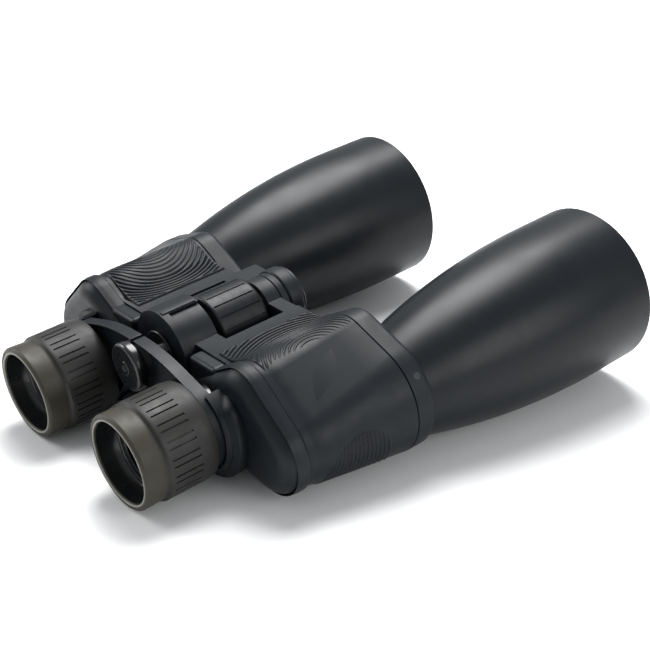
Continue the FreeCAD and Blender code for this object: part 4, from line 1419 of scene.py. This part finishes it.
@dataclass
class CadEdges(Assembly):
    """Rounds the edges of CAD nodes that stay in sight, without changing their meshes."""

    width: float = 0.00045
    weld: float = 0.000002
    crease: float = 50.0
    nodes: tuple[str, ...] = (
        "left_prism_housing", "right_prism_housing", "hinge_sleeve", "nose_washer")

    def build(self) -> None:
        """Add the modifiers."""
        for name in self.nodes:
            node = self.bench.frame["nodes"][name]
            node.modifiers.new("merge", "WELD").merge_threshold = self.weld
            bevel = node.modifiers.new("round", "BEVEL")
            bevel.width = self.width
            bevel.segments = 3
            bevel.limit_method = "ANGLE"
            bevel.angle_limit = math.radians(self.crease)
            node.modifiers.new("shade", "WEIGHTED_NORMAL").weight = 60
            LOG.info("%s keeps its CAD shape, with softened edges", name)


# ---------------------------------------------------------------------------------------------
# Studio


@dataclass(frozen=True)
class Softbox:
    """A square soft light: its name, place in metres, width in metres and power in watts."""

    name: str
    spot: Place
    size: float
    power: float


@dataclass
class Studio(Assembly):
    """Floor, lights, sky and camera."""

    eye: Place = (421.10, -183.99, 285.26)
    right: Place = (0.63379, 0.76854, -0.08749)
    down: Place = (0.33041, -0.37126, -0.86775)
    ahead: Place = (-0.69939, 0.52106, -0.48923)
    lens: float = 74.68
    floor_reach: float = 12.0
    aim: Place = (0.0, 0.0, 0.03)
    sky: Colour = (0.95, 0.98, 1.0)
    sky_strength: float = 0.5
    softboxes: tuple[Softbox, ...] = (
        Softbox("top_softbox", (-0.35, 0.35, 1.1), 0.7, 22.0),
        Softbox("left_softbox", (-1.0, -0.6, 0.6), 0.6, 7.0),
        Softbox("right_softbox", (1.1, 0.3, 0.5), 0.6, 5.0))

    def add_camera(self) -> None:
        """Stand the camera where it sees the instrument from behind and to the right."""
        camera = bpy.data.cameras.new("camera")
        camera.lens = self.lens
        camera.sensor_width = 36.0
        camera.clip_start = 0.01
        turn = Matrix((Vector(self.right), -Vector(self.down), -Vector(self.ahead))).transposed()
        pose = (self.bench.axes.to_3x3() * 1000.0 @ turn).to_4x4()
        pose.translation = self.bench.axes @ Vector(self.eye)
        holder = stand("camera", camera)
        holder.matrix_world = pose
        bpy.context.scene.camera = holder

    def add_floor(self) -> None:
        """Lay a wide pale floor under the instrument."""
        mesh = bmesh.new()
        bmesh.ops.create_grid(mesh, x_segments=4, y_segments=4, size=self.floor_reach)
        data = bpy.data.meshes.new("floor")
        mesh.to_mesh(data)
        mesh.free()
        bench = NodeBench("floor_paper")
        tone = bench.spread(bench.noise(3.0, 2.0))
        data.materials.append(bench.finish({
            "Base Color": bench.blend(tone, (0.86, 0.86, 0.86), (0.88, 0.88, 0.88)),
            "Roughness": 0.9}))
        stand("floor", data)

    def add_light(self, softbox: Softbox) -> None:
        """Hang a soft light that faces the instrument.

        Args:
            softbox: The light's place, size and power.
        """
        light = bpy.data.lights.new(softbox.name, "AREA")
        light.shape, light.size, light.energy = "SQUARE", softbox.size, softbox.power
        holder = stand(softbox.name, light)
        holder.location = softbox.spot
        towards = Vector(self.aim) - Vector(softbox.spot)
        holder.rotation_euler = towards.to_track_quat("-Z", "Y").to_euler()

    def add_sky(self) -> None:
        """Fill the room with even, slightly cool light."""
        world = bpy.data.worlds.new("room")
        world.use_nodes = True
        shade = world.node_tree.nodes["Background"]
        shade.inputs["Color"].default_value = (*self.sky, 1.0)
        shade.inputs["Strength"].default_value = self.sky_strength
        bpy.context.scene.world = world

    def build(self) -> None:
        """Set the whole studio up."""
        self.add_camera()
        self.add_floor()
        self.add_sky()
        for softbox in self.softboxes:
            self.add_light(softbox)
        bpy.context.scene.view_settings.view_transform = "Standard"


# ---------------------------------------------------------------------------------------------


def assemblies(bench: Bench) -> Iterable[Assembly]:
    """List every sub-assembly in building order.

    Args:
        bench: The bench that mounts the pieces.

    Returns:
        Objects with a build method.
    """
    low, high = bench.extent("right_objective_barrel")
    objective = Vector(((low.x + high.x) / 2.0, (low.z + high.z) / 2.0))
    half_gap = PrismHousing.seam_gap / 2.0
    seam = bench.extent("right_rear_cover")[1].y + half_gap
    collar = bench.extent("right_front_collar")[0].y - half_gap
    belt = HousingBelt(Vector((bench.eye_x, 0.0)), objective, seam, collar)
    for side in Side:
        yield PrismHousing(bench, side, belt)
        yield ObjectiveBarrel(bench, side)
        yield Eyecup(bench, side)
        yield EyepieceTube(bench, side)
        yield BridgeArm(bench, side)
    yield FocusWheel(bench)
    yield Bridge(bench)
    yield Hinge(bench)
    yield CadEdges(bench)
    yield Studio(bench)


def main() -> None:
    """Build the instrument and its studio round the frame."""
    logging.basicConfig(level=logging.INFO, format="%(name)s: %(message)s")
    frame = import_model()
    bench = Bench(frame)
    for assembly in assemblies(bench):
        assembly.build()


if __name__ == "__main__":
    main()
